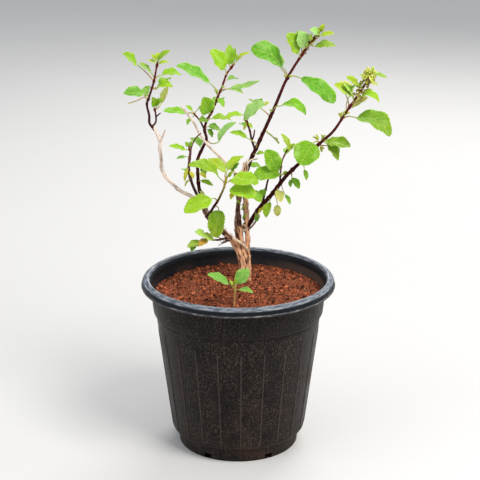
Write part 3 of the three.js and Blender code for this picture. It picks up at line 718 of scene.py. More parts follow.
def ribShape():
    # one upright rib on the +X side, with its back sunk in the wall
    low, high, width, proud = (potForm[key] for key in ("ribLow", "ribHigh", "ribWidth", "ribProud"))
    heights = np.concatenate([low + np.array([0, 0.5, 1.5]), np.linspace(23, high - 8, 24),
                              high - np.array([5, 2.5, 1, 0])])
    ends = np.minimum(np.clip((heights - low) / 1.5, 0, 1), np.clip((high - heights) / 6, 0, 1)) ** 0.5
    across = np.array([-1, -0.8, -0.45, 0, 0.45, 0.8, 1])
    crown = (1 - across**2) ** 0.6
    rows = []
    for z, share in zip(heights, ends):
        out = bodyRadius(z)
        rows.append([(out + proud * c * share - 0.02, 0.5 * width * a, z) for a, c in zip(across, crown)]
                    + [(out - 0.8, -0.4 * width * a, z) for a in (-1, 1)])
    sides, last = len(rows[0]), len(rows) - 1
    caps = [list(range(sides))[::-1], [last * sides + k for k in range(sides)]]
    crest = np.tile([*crown, 0, 0], len(rows)) * np.repeat(ends, sides)
    return {"points": np.array(rows).reshape(-1, 3), "faces": ringQuads(len(rows), sides) + caps,
            "values": {"crest": crest}}


def makeRingTree():
    # copies of a shape, evenly turned round the upright axis
    tree, given, out = newTree("evenRing", {"Count": 6, "Offset": 0.0})
    points = addNode(tree, "GeometryNodePoints", {"Count": given["Count"]}).outputs[0]
    _, turn = evenTurns(tree, given["Count"])
    spin = combined(tree, Z=plus(tree, turn, given["Offset"]))
    return endTree(tree, copiesOn(tree, points, given["Geometry"], spin), given, out)


def ringOf(name, shape, tree, count, offset, material):
    carrier = newPiece(name + "Copy", shape, [material])
    angle = math.radians(-90 + offset)
    ring = grown(name, carrier, tree, {"Count": count, "Offset": angle, "Material": material})
    bpy.data.objects.remove(carrier)
    return ring


def cutFoot(piece, ringTree, material):
    # drain notches through the foot ring, and drain holes through the floor
    f = potForm
    widths, heights = (-0.5 * f["notchWidth"], 0.5 * f["notchWidth"]), (f["notchSill"], f["notchHeight"])
    notch = {"points": [(r, y, z) for r in f["notchReach"] for y in widths for z in heights],
             "faces": [[0, 1, 3, 2], [4, 6, 7, 5], [0, 4, 5, 1], [2, 3, 7, 6], [0, 2, 6, 4], [1, 5, 7, 3]]}
    radius, (low, high) = f["holeRadius"], f["holeReach"]
    hole = lathe(np.array([(0, low), (radius, low), (radius, high), (0, high)], float), 20)
    hole["points"] = hole["points"] + np.array([f["holeRing"], 0, 0])
    cutters = [ringOf(name, shape, ringTree, f["notchCount"], f["notchOffset"], material)
               for name, shape in (("notchCut", notch), ("holeCut", hole))]
    for cutter in cutters:
        made = piece.modifiers.new("cut", "BOOLEAN")
        made.object, made.operation, made.solver = cutter, "DIFFERENCE", "EXACT"
    mesh = bakedMesh(piece)
    piece.modifiers.clear()
    piece.data = mesh
    for cutter in cutters:
        bpy.data.objects.remove(cutter)


def makePotMaterial():
    f = potFinish
    material, tree, shader = newMaterial("mouldedBlackPlastic", 0.5, 0.11)
    place = objectPoint(tree)
    spot = addNode(tree, "ShaderNodeSeparateXYZ", {0: place}).outputs
    flat = combined(tree, X=spot["X"], Y=spot["Y"])
    outer = addNode(tree, "ShaderNodeVectorMath", {0: flat}, operation="LENGTH").outputs["Value"]
    soot = mottled(tree, place, 38.0, 0.35, 0.7)
    streaks = noiseValue(tree, objectPoint(tree, (520, 520, 14)), 1.0, 5.0, 0.7)

    def rising(key, *ends):
        return smoothStep(tree, spot["Z"], *f[key], *ends)

    def between(key, axis):
        return smoothStep(tree, axis, *f[key])

    # the lining above the soil: caked with soil below, and lighter towards +X as painted light on that side
    # of the inner wall
    lip = rising("lipHeight")
    inside = times(tree, between("liningRadius", outer), rising("liningHeight"))
    caked = times(tree, rising("cakedHeight"), smoothStep(tree, soot["Height"], 0.38, 0.6))
    paintedLitLining = times(tree, between("paintedLitLiningSide", spot["X"]), 0.7)
    lining = layered(tree, f["lining"], (caked, f["caked"]), (paintedLitLining, f["paintedLitLining"]))

    # the rim, all painted light: a painted highlight line on the bead, a dark band of painted shade on the
    # upright face, a slope lit by painted light with a painted blue-grey sky reflection, and a painted
    # highlight on the crest; noise round the ring breaks the highlights into streaks
    around = times(tree, mathNode(tree, "ARCTAN2", spot["Y"], spot["X"]), 14.0)
    rimPoint = combined(tree, X=around, Y=times(tree, outer, 900.0), Z=times(tree, spot["Z"], 900.0))
    rimGlintNoise = noiseValue(tree, rimPoint, 0.7, 4.0, 0.6)
    bead, slope, crest = (mixColour(tree, smoothStep(tree, rimGlintNoise, low, high), lessLit, mostLit)
                          for low, high, lessLit, mostLit in (f["bead"], f["slope"], f["crest"]))
    rim = layered(
        tree, f["rimGap"],
        (between("gapRadius", outer), bead),
        (rising("bandHeight"), f["rimBand"]),
        (rising("slopeHeight"), slope),
        (times(tree, between("crestRadius", outer), rising("crestHeight")), crest),
    )

    # dirt on the outside of the body: streaks, scratches and fine grains, and rib crests lighter with dust
    # and a painted highlight
    bare = minus(tree, 1.0, times(tree, mathNode(tree, "MAXIMUM", lip, inside), 0.85))
    streaked = times(tree, smoothStep(tree, streaks, 0.46, 0.72), times(tree, bare, 0.5))
    scratch = smoothStep(tree, noiseValue(tree, objectPoint(tree, (900, 900, 60)), 1.0, 2.0), 0.64, 0.74)
    fine = smoothStep(tree, noiseValue(tree, objectPoint(tree, (700, 700, 480)), 1.0, 3.0, 0.75), 0.50, 0.62)
    fine = times(tree, fine, smoothStep(tree, soot["Height"], 0.34, 0.62, 0.35, 0.95))
    fine = times(tree, fine, rising("collarHeight", 1.0, 0.6))
    dust = dusted(tree, place, times(tree, rising("dustHeight", 0.34, 0.66), bare))
    cells = addNode(tree, "ShaderNodeTexVoronoi", {"Vector": place, "Scale": 330.0}).outputs
    few = addNode(tree, "ShaderNodeSeparateColor", {0: cells["Color"]}).outputs[0]
    specks = smoothStep(tree, cells["Distance"], 0.08, 0.2, 1.0, 0.0)
    specks = times(tree, specks, smoothStep(tree, few, 0.84, 0.9))
    colour = layered(
        tree, f["plastic"],
        (soot["Mask"], f["soot"]),
        (inside, lining),
        (lip, rim),
        (streaked, f["streak"]),
        (times(tree, scratch, 0.3), f["scratch"]),
        (times(tree, fine, bare), f["grain"]),
        # rib crests: dust and a painted highlight
        (times(tree, smoothStep(tree, attribute(tree, "crest"), 0.6, 1.0), 0.55), f["ribCrestDustAndHighlight"]),
        (times(tree, dust, 0.7), f["dust"]),
        (times(tree, specks, times(tree, bare, 0.6)), f["speck"]),
    )
    rough = plus(tree, smoothStep(tree, soot["Height"], 0.3, 0.7, 0.34, 0.5), times(tree, dust, 0.3))
    grain = plus(tree, noiseValue(tree, place, 1400.0, 2.0), times(tree, streaks, 1.1))
    grain = plus(tree, grain, times(tree, dust, 0.5))
    paint(tree, shader, colour, rough, grain, 0.0002, 0.8)
    return material


def makePot():
    plastic = makePotMaterial()
    ringTree = makeRingTree()
    wall = lathe(potProfile(), potForm["segments"])
    wall["values"] = {"crest": np.zeros(len(wall["points"]))}
    body = newPiece("potBody", wall, [plastic])
    cutFoot(body, ringTree, plastic)
    ribs = ringOf("potRibs", ribShape(), ringTree, potForm["ribCount"], potForm["ribOffset"], plastic)
    for piece in (body, ribs):
        smoothFaces(piece.data)
        piece.data.set_sharp_from_angle(angle=math.radians(potForm["creaseAngle"]))
        finished(piece, "pot", "pot")


soilForm = {
    "edge": 88.8, "top": 164.9, "mound": 1.8, "tilt": 0.014, "rings": 76, "segments": 210, "lump": 2.1,
    "crumble": 1.5, "dip": 2.2, "side": [(87.2, 150), (87.9, 158)], "relief": 0.0004,
    # the light colour is partly a painted highlight on the crumbs and the dark partly painted shadow, over
    # the soil's own tones
    "base": (0.105, 0.022, 0.009), "dark": (0.018, 0.0045, 0.003), "light": (0.68, 0.195, 0.082),
}
crumbForm = {  # each with its usual, dark and light colour, the light partly a painted highlight and the dark partly painted shadow; only the clods are large enough to be round
    "soilClods": {
        "Density": 34000, "Smallest": 0.0009, "Largest": 0.0027, "Seed": 4, "round": True,
        "finish": ("soilClod", (0.19, 0.040, 0.015), (0.045, 0.010, 0.005), soilForm["light"]),
    },
    "soilGrains": {
        "Density": 210000, "Smallest": 0.00045, "Largest": 0.0013, "Seed": 9, "round": False,
        "finish": ("soilCrumb", (0.215, 0.045, 0.017), soilForm["dark"], soilForm["light"]),
    },
    "soilFlecks": {
        "Density": 12000, "Smallest": 0.0003, "Largest": 0.0009, "Seed": 23, "round": False,
        "finish": ("soilFleck", (0.52, 0.30, 0.17), (0.30, 0.10, 0.05), (0.75, 0.58, 0.40)),
    },
}


def soilHeight(x, y):
    f = soilForm
    share = math.hypot(x, y) / f["edge"]
    at = Vector((x, y, 0))
    lumps = noise.fractal(at * 0.11, 0.9, 2.1, 4) * f["lump"]
    crumble = noise.fractal(at * 0.5 + Vector((7, 3, 1)), 0.8, 2.2, 3) * f["crumble"]
    dip = -f["dip"] * math.exp(-(((x + 1) / 17) ** 2 + ((y + 20) / 9) ** 2))
    return f["top"] + f["tilt"] * y + f["mound"] * (1 - share**2) + lumps + crumble + dip


def makeSoilMaterial(name, base, dark, light, byCrumb):
    # byCrumb makes each crumb as a whole darker or lighter by its own chance value: partly its own tone,
    # partly painted shadow and painted highlight
    material, tree, shader = newMaterial(name, 0.95, 0.2)
    place = objectPoint(tree)
    patch, fine = mottled(tree, place, 60.0, 0.35, 0.68), mottled(tree, place, 700.0, 0.3, 0.75)
    layers = [(patch["Mask"], dark), (times(tree, fine["Mask"], 0.55), light)]
    if byCrumb:
        shade = attribute(tree, "shade")
        layers.append((smoothStep(tree, shade, 0.2, 0.6, 0.97, 0.0), dark))
        layers.append((smoothStep(tree, shade, 0.66, 0.92, 0.0, 0.95), light))
    rough = smoothStep(tree, fine["Height"], 0.2, 0.8, 0.85, 1.0)
    paint(tree, shader, layered(tree, base, *layers), rough, fine["Height"], soilForm["relief"])
    return material


def makeScatterTree(name, subdivisions):
    # crumbs spread over a surface, each turned and stretched by chance and half sunk
    tree, given, out = newTree(name, {"Density": 1000.0, "Smallest": 0.001, "Largest": 0.002, "Seed": 1})
    ball = addNode(tree, "GeometryNodeMeshIcoSphere", {"Radius": 1.0, "Subdivisions": subdivisions})
    spot = addNode(tree, "GeometryNodeInputPosition").outputs[0]
    dent = addNode(tree, "ShaderNodeTexNoise", {"Vector": spot, "Scale": 1.3, "Detail": 2.0}).outputs["Color"]
    push = addNode(tree, "ShaderNodeVectorMath", {0: dent, 1: (0.5, 0.5, 0.5)}, operation="SUBTRACT")
    crumb = addNode(tree, "GeometryNodeSetPosition", {
        "Geometry": ball.outputs[0], "Offset": scaled(tree, push.outputs[0], 1.3)}).outputs[0]
    turn = chanceVector(tree, (0, 0, 0), (6.3, 6.3, 6.3), given["Seed"])
    size = mathNode(tree, "POWER", chanceNumber(tree, 0.0, 1.0, given["Seed"]), 2.2)
    span = minus(tree, given["Largest"], given["Smallest"])
    size = plus(tree, given["Smallest"], times(tree, size, span))
    squash = chanceVector(tree, (0.6, 0.6, 0.45), (1.0, 1.0, 0.8), 3)
    copies = copiesOn(tree, spreadPoints(tree, given)["Points"], crumb, turn, scaled(tree, squash, size))
    marked = addNode(tree, "GeometryNodeStoreNamedAttribute", {
        "Geometry": copies, "Name": "shade", "Value": chanceNumber(tree, 0.0, 1.0, 77),
    }, data_type="FLOAT", domain="INSTANCE").outputs[0]
    return endTree(tree, marked, given, out)


def makeSoil():
    f = soilForm
    sides = f["segments"]
    turn = np.linspace(0, 2 * np.pi, sides, endpoint=False)
    rings = [[(r * math.cos(t), r * math.sin(t), z) for t in turn] for r, z in f["side"]]
    for r in np.linspace(0, f["edge"], f["rings"] + 1)[:0:-1]:
        places = [(r * math.cos(t), r * math.sin(t)) for t in turn]
        rings.append([(x, y, soilHeight(x, y)) for x, y in places])
    points = [p for ring in rings for p in ring]
    low = len(points)
    points += [(0, 0, f["side"][0][1]), (0, 0, soilHeight(0, 0))]
    faces = closedRings(len(rings), sides)
    bedStuff = makeSoilMaterial("soilBase", f["base"], f["dark"], f["light"], False)
    finished(newPiece("soilBed", {"points": points, "faces": faces}, [bedStuff]), "soil", "soil")
    topFaces = [face for face in faces if min(face) >= len(f["side"]) * sides and low not in face]
    carrier = newPiece("soilTop", {"points": points, "faces": topFaces}, [])
    trees = {True: makeScatterTree("roundCrumbs", 2), False: makeScatterTree("flatCrumbs", 1)}
    for name, given in crumbForm.items():
        stuff = makeSoilMaterial(*given["finish"], True)
        finished(grown(name, carrier, trees[given["round"]], {**given, "Material": stuff}), "soil")
    bpy.data.objects.remove(carrier)


# each route of old wood from root end to tip, the radius at its ends, and the bark's tint
wood = {
    "stump": ([(8, 36, 140), (8, 36, 152), (7, 35, 163), (6, 34, 173)], (6, 4.6), "tan"),
    "rightStrand": ([(11, 36, 150), (11, 36, 166), (11, 36, 182), (10, 36, 197), (10, 36, 212),
        (9, 36, 225), (9, 36, 239), (8, 36, 253), (6, 36, 265), (6, 37, 280), (7, 38, 295)],
        (2.8, 2.3), "tan"),
    "leftStrand": ([(7, 35, 152), (6, 34, 173), (4, 34, 187), (2, 33, 195), (-1, 32, 203), (-6, 30, 212),
        (-11, 28, 219), (-17, 26, 225)], (4.4, 2.5), "tan"),
    "leftKnot": ([(-11, 28, 219), (-17, 26, 225), (-24, 24, 231), (-29, 22, 238), (-34, 20, 248),
        (-37, 19, 258), (-39, 19, 266)], (2.5, 3.5), "gnarled"),
    "middleStrand": ([(8, 34, 178), (7, 33, 188), (4, 33, 204), (3, 33, 215), (1, 33, 226)],
        (3.2, 2), "tan"),
    "innerStrand": ([(6, 37, 190), (0, 40, 210), (-2, 40, 226), (-1, 40, 242), (0, 39, 255), (-2, 37, 271),
        (-3, 36, 285)], (2.4, 1.9), "brown"),
    "bareTwig": ([(-2, 37, 275), (-3, 36, 285), (-13, 31, 298), (-24, 25, 311), (-32, 20, 321),
        (-39, 15, 332), (-45, 9, 346), (-53, 3, 359), (-57, 0, 365)], (1.6, 1.1), "pale"),
    "backStrand": ([(4, 38, 208), (2, 40, 226), (0, 43, 243), (1, 42, 254), (5, 39, 267), (7, 38, 280)],
        (2.2, 2), "brown"),
    "leftBranch": ([(-33, 19, 248), (-41, 17, 261), (-48, 15, 266), (-61, 12, 274), (-69, 10, 282),
        (-75, 9, 289), (-79, 8, 299), (-79, 7, 308), (-80, 6, 319), (-80, 6, 328), (-83, 6, 336),
        (-86, 6, 342)], (2, 1.7), "pale"),
    "leftFork": ([(-81, 6, 322), (-77, 5, 333), (-74, 4, 340)], (1.2, 0.9), "pale"),
    "brokenTwig": ([(10, 35, 200), (3, 27, 211), (-8, 23, 219)], (1.7, 1.3), "cream"),
    "brokenEnd": ([(-6, 24, 217.5), (-8, 23, 219), (-17, 20, 228)], (1.5, 1.0), "brown"),
    "knotHole": ([(4, 34, 228), (6, 31.6, 230), (8.3, 31.6, 228), (8.4, 31.6, 224.6), (6, 31.6, 223),
        (3.4, 34, 224.6)], (1.0, 0.9), "cream"),
    "knotHeart": ([(5.6, 34.6, 222), (6, 34.4, 226), (6.4, 34.6, 230)], (2.1, 1.9), "brown"),
    "burrHigh": ([(-11, 28, 217), (-17, 24, 217), (-23.5, 22, 220)], (1.0, 0.5), "brown"),
    "burrLow": ([(-9, 28, 214), (-15, 24, 212.5), (-21.4, 21, 209.8)], (1.0, 0.4), "brown"),
    "burrMid": ([(-12, 27, 216), (-16, 23, 213), (-19, 21, 214.5)], (0.9, 0.5), "gnarled"),
    "sideStub": ([(9, 36, 222), (16, 31, 230), (19, 28, 236)], (1.3, 0.8), "brown"),
    "upperStub": ([(7, 38, 292), (13, 34, 300), (20, 30, 303)], (1.4, 1), "pale"),
    "tornEdge": ([(3, 38, 281), (5, 36, 291), (10, 33, 302)], (1.1, 0.5), "pale"),
    "tornFibre": ([(7, 37, 283), (10, 35, 290), (9, 33, 299)], (0.9, 0.4), "pale"),
    "tornHook": ([(-1, 37, 279), (1, 34, 287), (6, 32, 291)], (0.8, 0.4), "pale"),
}

# leafy stems: routes with their radii, rows of leaves by route, and side buds. A leaf has its node's height,
# its blade's start and end, width, tilt of its face from straight up towards the front in degrees, arch,
# tint, and sometimes its fold and how far along it is widest
leafyStems = {
    "tall": {
        "node": "tall_stem",
        "routes": [
            ([(7, 38, 282), (13, 39, 299), (19, 40, 312), (30, 44, 336), (39, 48, 356), (49, 50, 380),
              (56, 49, 393), (65, 46, 408), (73, 43, 420), (81, 40, 432)], (2.1, 1.1)),
            ([(18, 40, 309), (14, 34, 322), (12, 29, 333), (8, 24, 346)], (1.2, 0.9)),
            ([(14, 35, 320), (16, 33, 326), (17, 31, 333)], (0.8, 0.7)),
        ],
        "leaves": {0: [
            (348, (45, 44, 356), (70, 36, 348), 15, 20, 0.28, "mid"),
            (384, (45, 50, 396), (13, 36, 417), 24, 45, 0.2, "grass", 14, 1.3),
            (384, (65, 49, 384), (100, 40, 360), 21, 35, 0.1, "grass", 14, 1.2),
            (405, (62, 43, 412), (49, 36, 432), 20, 35, 0.05, "lime", 15),
            (410, (67, 44, 418), (62, 40, 435), 16, 35, 0.05, "mist", 20),
            (425, (83, 40, 432), (73, 36, 437), 9, 45, 0.05, "mist"),
            (429, (84, 40, 434), (88, 38, 442), 7, 30, 0.02, "young"),
            (427, (84, 39, 430), (98, 34, 433), 8, 25, 0.06, "young"),
            (421, (79, 40, 419), (99, 30, 421), 11, 35, 0.1, "olive"),
            (409, (70, 58, 415), (79, 80, 415), 13, -20, 0.15, "mid"),
            (384, (44, 66, 392), (32, 90, 400), 16, -10, 0.15, "mid"),
            (344, (22, 56, 352), (14, 78, 353), 14, -15, 0.15, "mid"),
            (320, (29, 58, 325), (43, 76, 307), 11, 20, 0.03, "straw"),
            (304, (19, 34, 307), (27, 28, 309), 6, 35, 0.08, "lime"),
            (290, (13, 46, 290), (24, 54, 288), 9, 30, 0.1, "mid"),
            (311, (9, 22, 327), (-9, 20, 333), 9, 25, 0.12, "lime"),
            (427, (80, 40, 431), (83, 42, 438), 6, 10, 0, "young"),
            (408, (65, 47, 417), (61, 46, 434), 12, 30, 0.08, "lime"),
            (423, (74, 40, 425), (75, 37, 433), 5, 30, 0.05, "young"),
            (426, (79, 40, 428), (82, 36, 435), 5, 25, 0.05, "straw"),
            (414, (72, 41, 419), (78, 36, 424), 4.5, 15, 0.05, "straw"),
        ], 1: [
            (344, (6, 22, 348), (27, 12, 366), 18, 35, 0.05, "mist"),
            (344, (5, 22, 351), (-14, 14, 349), 11, 15, 0.12, "lime"),
            (341, (8, 22, 342), (6, 18, 336), 5, -20, 0, "yellow"),
            (333, (9, 36, 336), (2, 50, 335), 9, 15, 0.1, "mid"),
            (341, (11, 22, 343), (14, 18, 338), 5, -10, 0, "young"),
            (344, (25, 14, 363), (32, 12, 367), 5, 30, 0, "yellow"),
            (342, (9, 22, 347), (13, 18, 352), 6, 30, 0, "lime"),
        ]},
        "buds": [(383, (47, 47, 389)), (384, (57, 46, 388)), (348, (33, 42, 353)), (428, (83, 42, 437))],
    },
    "right": {
        "node": "right_stem",
        "routes": [
            ([(10, 36, 227), (24, 28, 252), (32, 24, 262), (50, 14, 289), (61, 8, 302), (82, 0, 326),
              (96, -6, 341), (108, -12, 362), (118, -14, 378), (127, -15, 393), (132, -16, 406)],
             (2.3, 0.9)),
            ([(25, 27, 253), (29, 32, 269), (32, 36, 280), (38, 38, 288)], (1.2, 0.8)),
            ([(43, 17, 279), (44, 21, 289), (45, 25, 299), (47, 27, 305), (51, 28, 313)], (0.9, 0.7)),
        ],
        "leaves": {0: [
            (327, (76, -3, 328), (63, -14, 308), 28, 40, 0.04, "mid"),
            (331, (89, -6, 329), (113, -14, 327), 17, 25, 0.1, "olive"),
            (331, (90, -6, 330), (101, -12, 312), 14, 10, 0.08, "olive"),
            (308, (68, 4, 298), (70, 0, 288), 6, -5, 0.05, "mid"),
            (296, (56, 12, 287), (63, 6, 277), 8, 30, 0.1, "mid"),
            (275, (41, 16, 273), (44, 8, 262), 10, 10, 0.1, "straw"),
            (280, (49, 18, 267), (54, 16, 257), 6, 15, 0.1, "mid"),
            (262, (33, 19, 259), (29, 12, 244), 9, 5, 0.15, "lime"),
            (268, (41, 22, 255), (41, 20, 243), 8, 0, 0.2, "straw"),
            (256, (27, 24, 252), (21, 20, 246), 4.5, 10, 0.05, "yellow"),
            (354, (119, -14, 357), (152, -25, 341), 24, 30, 0.26, "plain"),
            (368, (113, -16, 380), (95, -22, 392), 14, 35, 0.08, "young"),
            (369, (113, -18, 382), (104, -22, 393), 9, 30, 0.08, "fresh"),
            (367, (114, -8, 381), (102, 2, 391), 11, 30, 0.05, "straw"),
            (383, (119, -16, 390), (107, -20, 400), 9, 35, 0.08, "young"),
            (379, (122, -17, 379), (140, -24, 375), 10, 25, 0.34, "lime"),
            (370, (130, -6, 376), (115, 0, 364), 9, 35, 0.08, "straw"),
            (367, (107, 2, 380), (102, 24, 384), 13, -10, 0.12, "mid"),
            (325, (96, 14, 322), (100, 34, 320), 14, -15, 0.12, "mid"),
            (308, (68, 20, 312), (74, 41, 314), 12, -10, 0.12, "mid"),
            (246, (18, 26, 241), (20, 24, 236), 6, 10, 0.05, "deep"),
            (296, (55, 10, 286), (54, 8, 278), 5, -5, 0.1, "deep"),
            (363, (111, -18, 381), (117, -23, 392), 9, 20, 0.1, "pale"),
            (390, (118, -17, 389), (107, -21, 399), 7, 30, 0.1, "lime"),
            (401, (134, -18, 403), (147, -20, 399), 4.5, 40, 0.05, "lime"),
            (399, (132, -17, 401), (139, -19, 404), 4, 30, 0.05, "fresh"),
            (399, (130, -17, 401), (126, -19, 406), 4, 30, 0.05, "fresh"),
            (402, (132, -17, 403), (134, -18, 409), 3.5, 30, 0.05, "fresh"),
            (396, (128, -17, 397), (120, -19, 402), 4, 30, 0.05, "young"),
            (394, (130, -17, 394), (139, -19, 391), 4, 40, 0.05, "straw"),
            (388, (123, -16, 389), (114, -19, 393), 4.5, 30, 0.05, "lime"),
            (384, (125, -16, 384), (134, -18, 386), 4.5, 30, 0.05, "young"),
        ], 1: [
            (269, (27, 28, 270), (24, 22, 262), 9, -5, 0.1, "mid"),
            (280, (39, 40, 286), (47, 50, 289), 9, -5, 0.1, "mid"),
        ], 2: [
            (287, (43, 18, 290), (15, 9, 288), 19, 35, 0.1, "mid"),
            (295, (41, 20, 293), (28, 14, 316), 19, 50, 0.05, "mid"),
            (312, (53, 26, 314), (44, 20, 332), 8, 35, 0.1, "young"),
            (301, (50, 38, 306), (55, 54, 308), 9, -10, 0.1, "mid"),
            (312, (54, 28, 314), (59, 26, 320), 5, 30, 0.05, "young"),
            (287, (46, 22, 288), (52, 20, 291), 5, 40, 0.05, "lime"),
        ]},
        "buds": [(327, (76, 0, 337)), (328, (87, -5, 339)), (326, (87, -6, 319)), (353, (102, -9, 363)),
            (355, (111, -14, 365)), (287, (52, 20, 291), 2), (311, (58, 27, 318), 2), (246, (20, 25, 237))],
    },
    "left": {
        "node": "left_stem",
        "routes": [
            ([(-85, 6, 339), (-90, 4, 347), (-90, 2, 355), (-92, -1, 368), (-90, -2, 374), (-87, -3, 383),
              (-84, -4, 393), (-82, -4, 403), (-80, -4, 412)], (1.3, 0.8)),
            ([(-88, 5, 343), (-84, 7, 347), (-84, 9, 356), (-85, 9, 361)], (0.9, 0.8)),
            ([(-84, 9, 352), (-81, 7, 355), (-79, 6, 357)], (0.7, 0.6)),
            ([(-91, -1, 372), (-94, -1, 375), (-101, -7, 373), (-110, -12, 371)], (0.5, 0.55), "bare"),
        ],
        "leaves": {0: [
            (392, (-87, -4, 401), (-99, -9, 411), 8, 30, 0.08, "pale"),
            (392, (-101, -8, 410), (-114, -16, 422), 15, 30, 0.05, "lime"),
            (392, (-76, -2, 398), (-57, 6, 396), 13, 20, 0.14, "lime"),
            (409, (-80, -5, 413), (-67, -9, 424), 8, 35, 0.1, "lime"),
            (408, (-80, -2, 414), (-79, 5, 419), 7, 20, 0.1, "young"),
            (385, (-82, -5, 384), (-65, -13, 388), 12, 30, 0.26, "lime"),
            (373, (-94, -5, 380), (-114, -17, 382), 14, 40, 0.08, "cool"),
            (373, (-94, -3, 380), (-89, 3, 386), 8, 10, 0.05, "pale"),
            (385, (-78, 12, 384), (-70, 34, 386), 12, -10, 0.15, "mid"),
            (368, (-94, 12, 373), (-102, 32, 375), 12, -15, 0.15, "mid"),
            (409, (-81, -5, 413), (-86, -8, 420), 5, 40, 0, "young"),
            (407, (-82, -5, 411), (-90, -8, 414), 5, 30, 0.05, "young"),
            (407, (-79, -4, 410), (-69, -2, 411), 5, 30, 0.1, "young"),
        ], 1: [
            (360, (-78, 11, 366), (-71, 16, 383), 8, 15, 0.05, "straw"),
            (360, (-85, 8, 363), (-87, 4, 374), 9, 30, 0.15, "lime"),
            (360, (-83, 8, 363), (-75, 3, 372), 9, 35, 0.15, "lime"),
        ]},
        "buds": [],
    },
    "middle": {
        "node": "middle_stem",
        "routes": [
            ([(-38, 19, 263), (-41, 18, 276), (-42, 20, 291), (-42, 23, 304), (-37, 27, 315),
              (-33, 30, 324), (-35, 33, 333), (-33, 36, 341), (-27, 42, 351), (-22, 47, 363),
              (-17, 51, 374), (-12, 56, 387), (-8, 59, 392), (-4, 61, 397)], (1.9, 0.9)),
            ([(-35, 33, 333), (-40, 30, 344), (-46, 26, 352)], (1, 0.7)),
        ],
        "leaves": {0: [
            (385, (-14, 54, 393), (-29, 48, 413), 19, 35, 0.05, "lime"),
            (393, (-9, 60, 396), (-9, 62, 417), 11, 20, 0.08, "lime"),
            (393, (-5, 64, 399), (-1, 70, 406), 8, -5, 0.1, "young"),
            (393, (-6, 62, 397), (-3, 63, 413), 7, 15, 0.08, "lime"),
            (394, (-2, 61, 399), (13, 64, 408), 7, 15, 0.15, "young"),
            (365, (-30, 45, 380), (-63, 28, 401), 18, 30, 0.04, "cool", 20),
            (370, (-9, 50, 373), (22, 40, 383), 11, 20, -0.08, "mist", 20),
            (370, (-8, 45, 373), (5, 40, 370), 7, 15, 0.1, "pale"),
            (379, (-10, 62, 380), (0, 74, 378), 9, 20, 0.1, "mid"),
            (350, (-31, 36, 350), (-36, 26, 369), 19, 45, 0.06, "mid"),
            (357, (-21, 46, 363), (-15, 42, 355), 8, 10, 0.1, "mid"),
            (344, (-32, 32, 344), (-40, 24, 344), 9, 40, 0.1, "deep"),
            (342, (-27, 41, 343), (-7, 50, 339), 11, 20, 0.1, "lime"),
            (333, (-31, 38, 335), (-19, 46, 330), 9, 40, 0.1, "deep"),
            (331, (-32, 38, 332), (-27, 40, 323), 8, 25, 0.1, "deep"),
            (323, (-20, 22, 323), (-2, 15, 345), 10, 30, 0.08, "mist", 35),
            (303, (-39, 24, 298), (-35, 22, 286), 8, 15, 0.1, "deep"),
            (280, (-39, 16, 283), (-26, 10, 279), 6, 30, 0.1, "lime"),
            (290, (-40, 18, 291), (-33, 14, 286), 5, 30, 0.1, "yellow"),
            (271, (-40, 16, 272), (-35, 13, 266), 4.5, 10, 0.1, "straw"),
            (348, (-24, 62, 354), (-17, 82, 355), 13, -10, 0.1, "mid"),
            (311, (-40, 42, 313), (-51, 62, 317), 13, -15, 0.1, "mid"),
        ], 1: [
            (352, (-52, 21, 354), (-76, 10, 358), 11, 30, 0.04, "mid"),
            (349, (-48, 22, 348), (-52, 18, 342), 7, -5, 0.1, "mid"),
            (351, (-47, 24, 355), (-54, 20, 361), 6, 35, 0.1, "lime"),
            (350, (-42, 24, 356), (-36, 20, 360), 6, 25, 0.1, "lime"),
        ]},
        "buds": [(365, (-24, 44, 375)), (372, (-14, 47, 377))],
    },
    "gnarled": {
        "node": "gnarled_stem",
        "routes": [
            ([(-34, 19, 251), (-40, 16, 262), (-46, 15, 275), (-49, 12, 285), (-51, 9, 296), (-50, 7, 308),
              (-49, 5, 317), (-50, 4, 323)], (1.7, 1.2)),
            ([(-50, 6, 313), (-46, 6, 326), (-42, 8, 332), (-38, 10, 335)], (0.8, 0.6)),
        ],
        "leaves": {0: [
            (319, (-54, 2, 320), (-70, -8, 326), 9, 30, 0.04, "lime"),
            (309, (-53, 4, 312), (-63, -2, 311), 5, 20, 0.05, "deep"),
            (297, (-52, 6, 298), (-55, 2, 286), 5, 0, 0.05, "yellow"),
            (288, (-52, 18, 290), (-58, 32, 291), 9, -15, 0.1, "mid"),
            (294, (-50, 8, 295), (-46, 5, 288), 5, 5, 0.1, "yellow"),
            (285, (-50, 10, 286), (-55, 7, 279), 4.5, 0, 0.1, "straw"),
            (320, (-51, 3, 323), (-54, 1, 328), 5, 40, 0, "lime"),
            (320, (-49, 3, 323), (-47, 1, 329), 4.5, 35, 0, "lime"),
        ]},
        "buds": [],
    },
    "centre": {
        "node": "centre_shoot",
        "routes": [
            ([(-31, 19, 243), (-27, 13, 253), (-21, 7, 264), (-18, 4, 271), (-14, 0, 282), (-12, -2, 292)],
             (1.4, 0.9)),
        ],
        "leaves": {0: [
            (280, (-20, -6, 293), (-50, -20, 309), 16, 30, 0.2, "lime"),
            (288, (-13, -2, 297), (-31, 6, 309), 13, 25, 0.1, "young"),
            (289, (-11, -2, 299), (6, 6, 312), 13, 10, 0.12, "young"),
            (262, (-28, 1, 268), (-55, -13, 257), 20, 35, 0.06, "bright"),
            (257, (-20, 6, 254), (-23, 0, 226), 19, 5, 0.08, "turning", 14, 0.78),
            (286, (-7, -2, 298), (1, -4, 307), 9, 25, 0.05, "cool"),
            (288, (-10, -4, 293), (-5, -8, 299), 5, 45, 0.05, "young"),
            (285, (-10, -3, 287), (-5, -7, 290), 4.5, 35, 0.05, "young"),
        ]},
        "buds": [],
    },
    "front": {
        "node": "front_shoot",
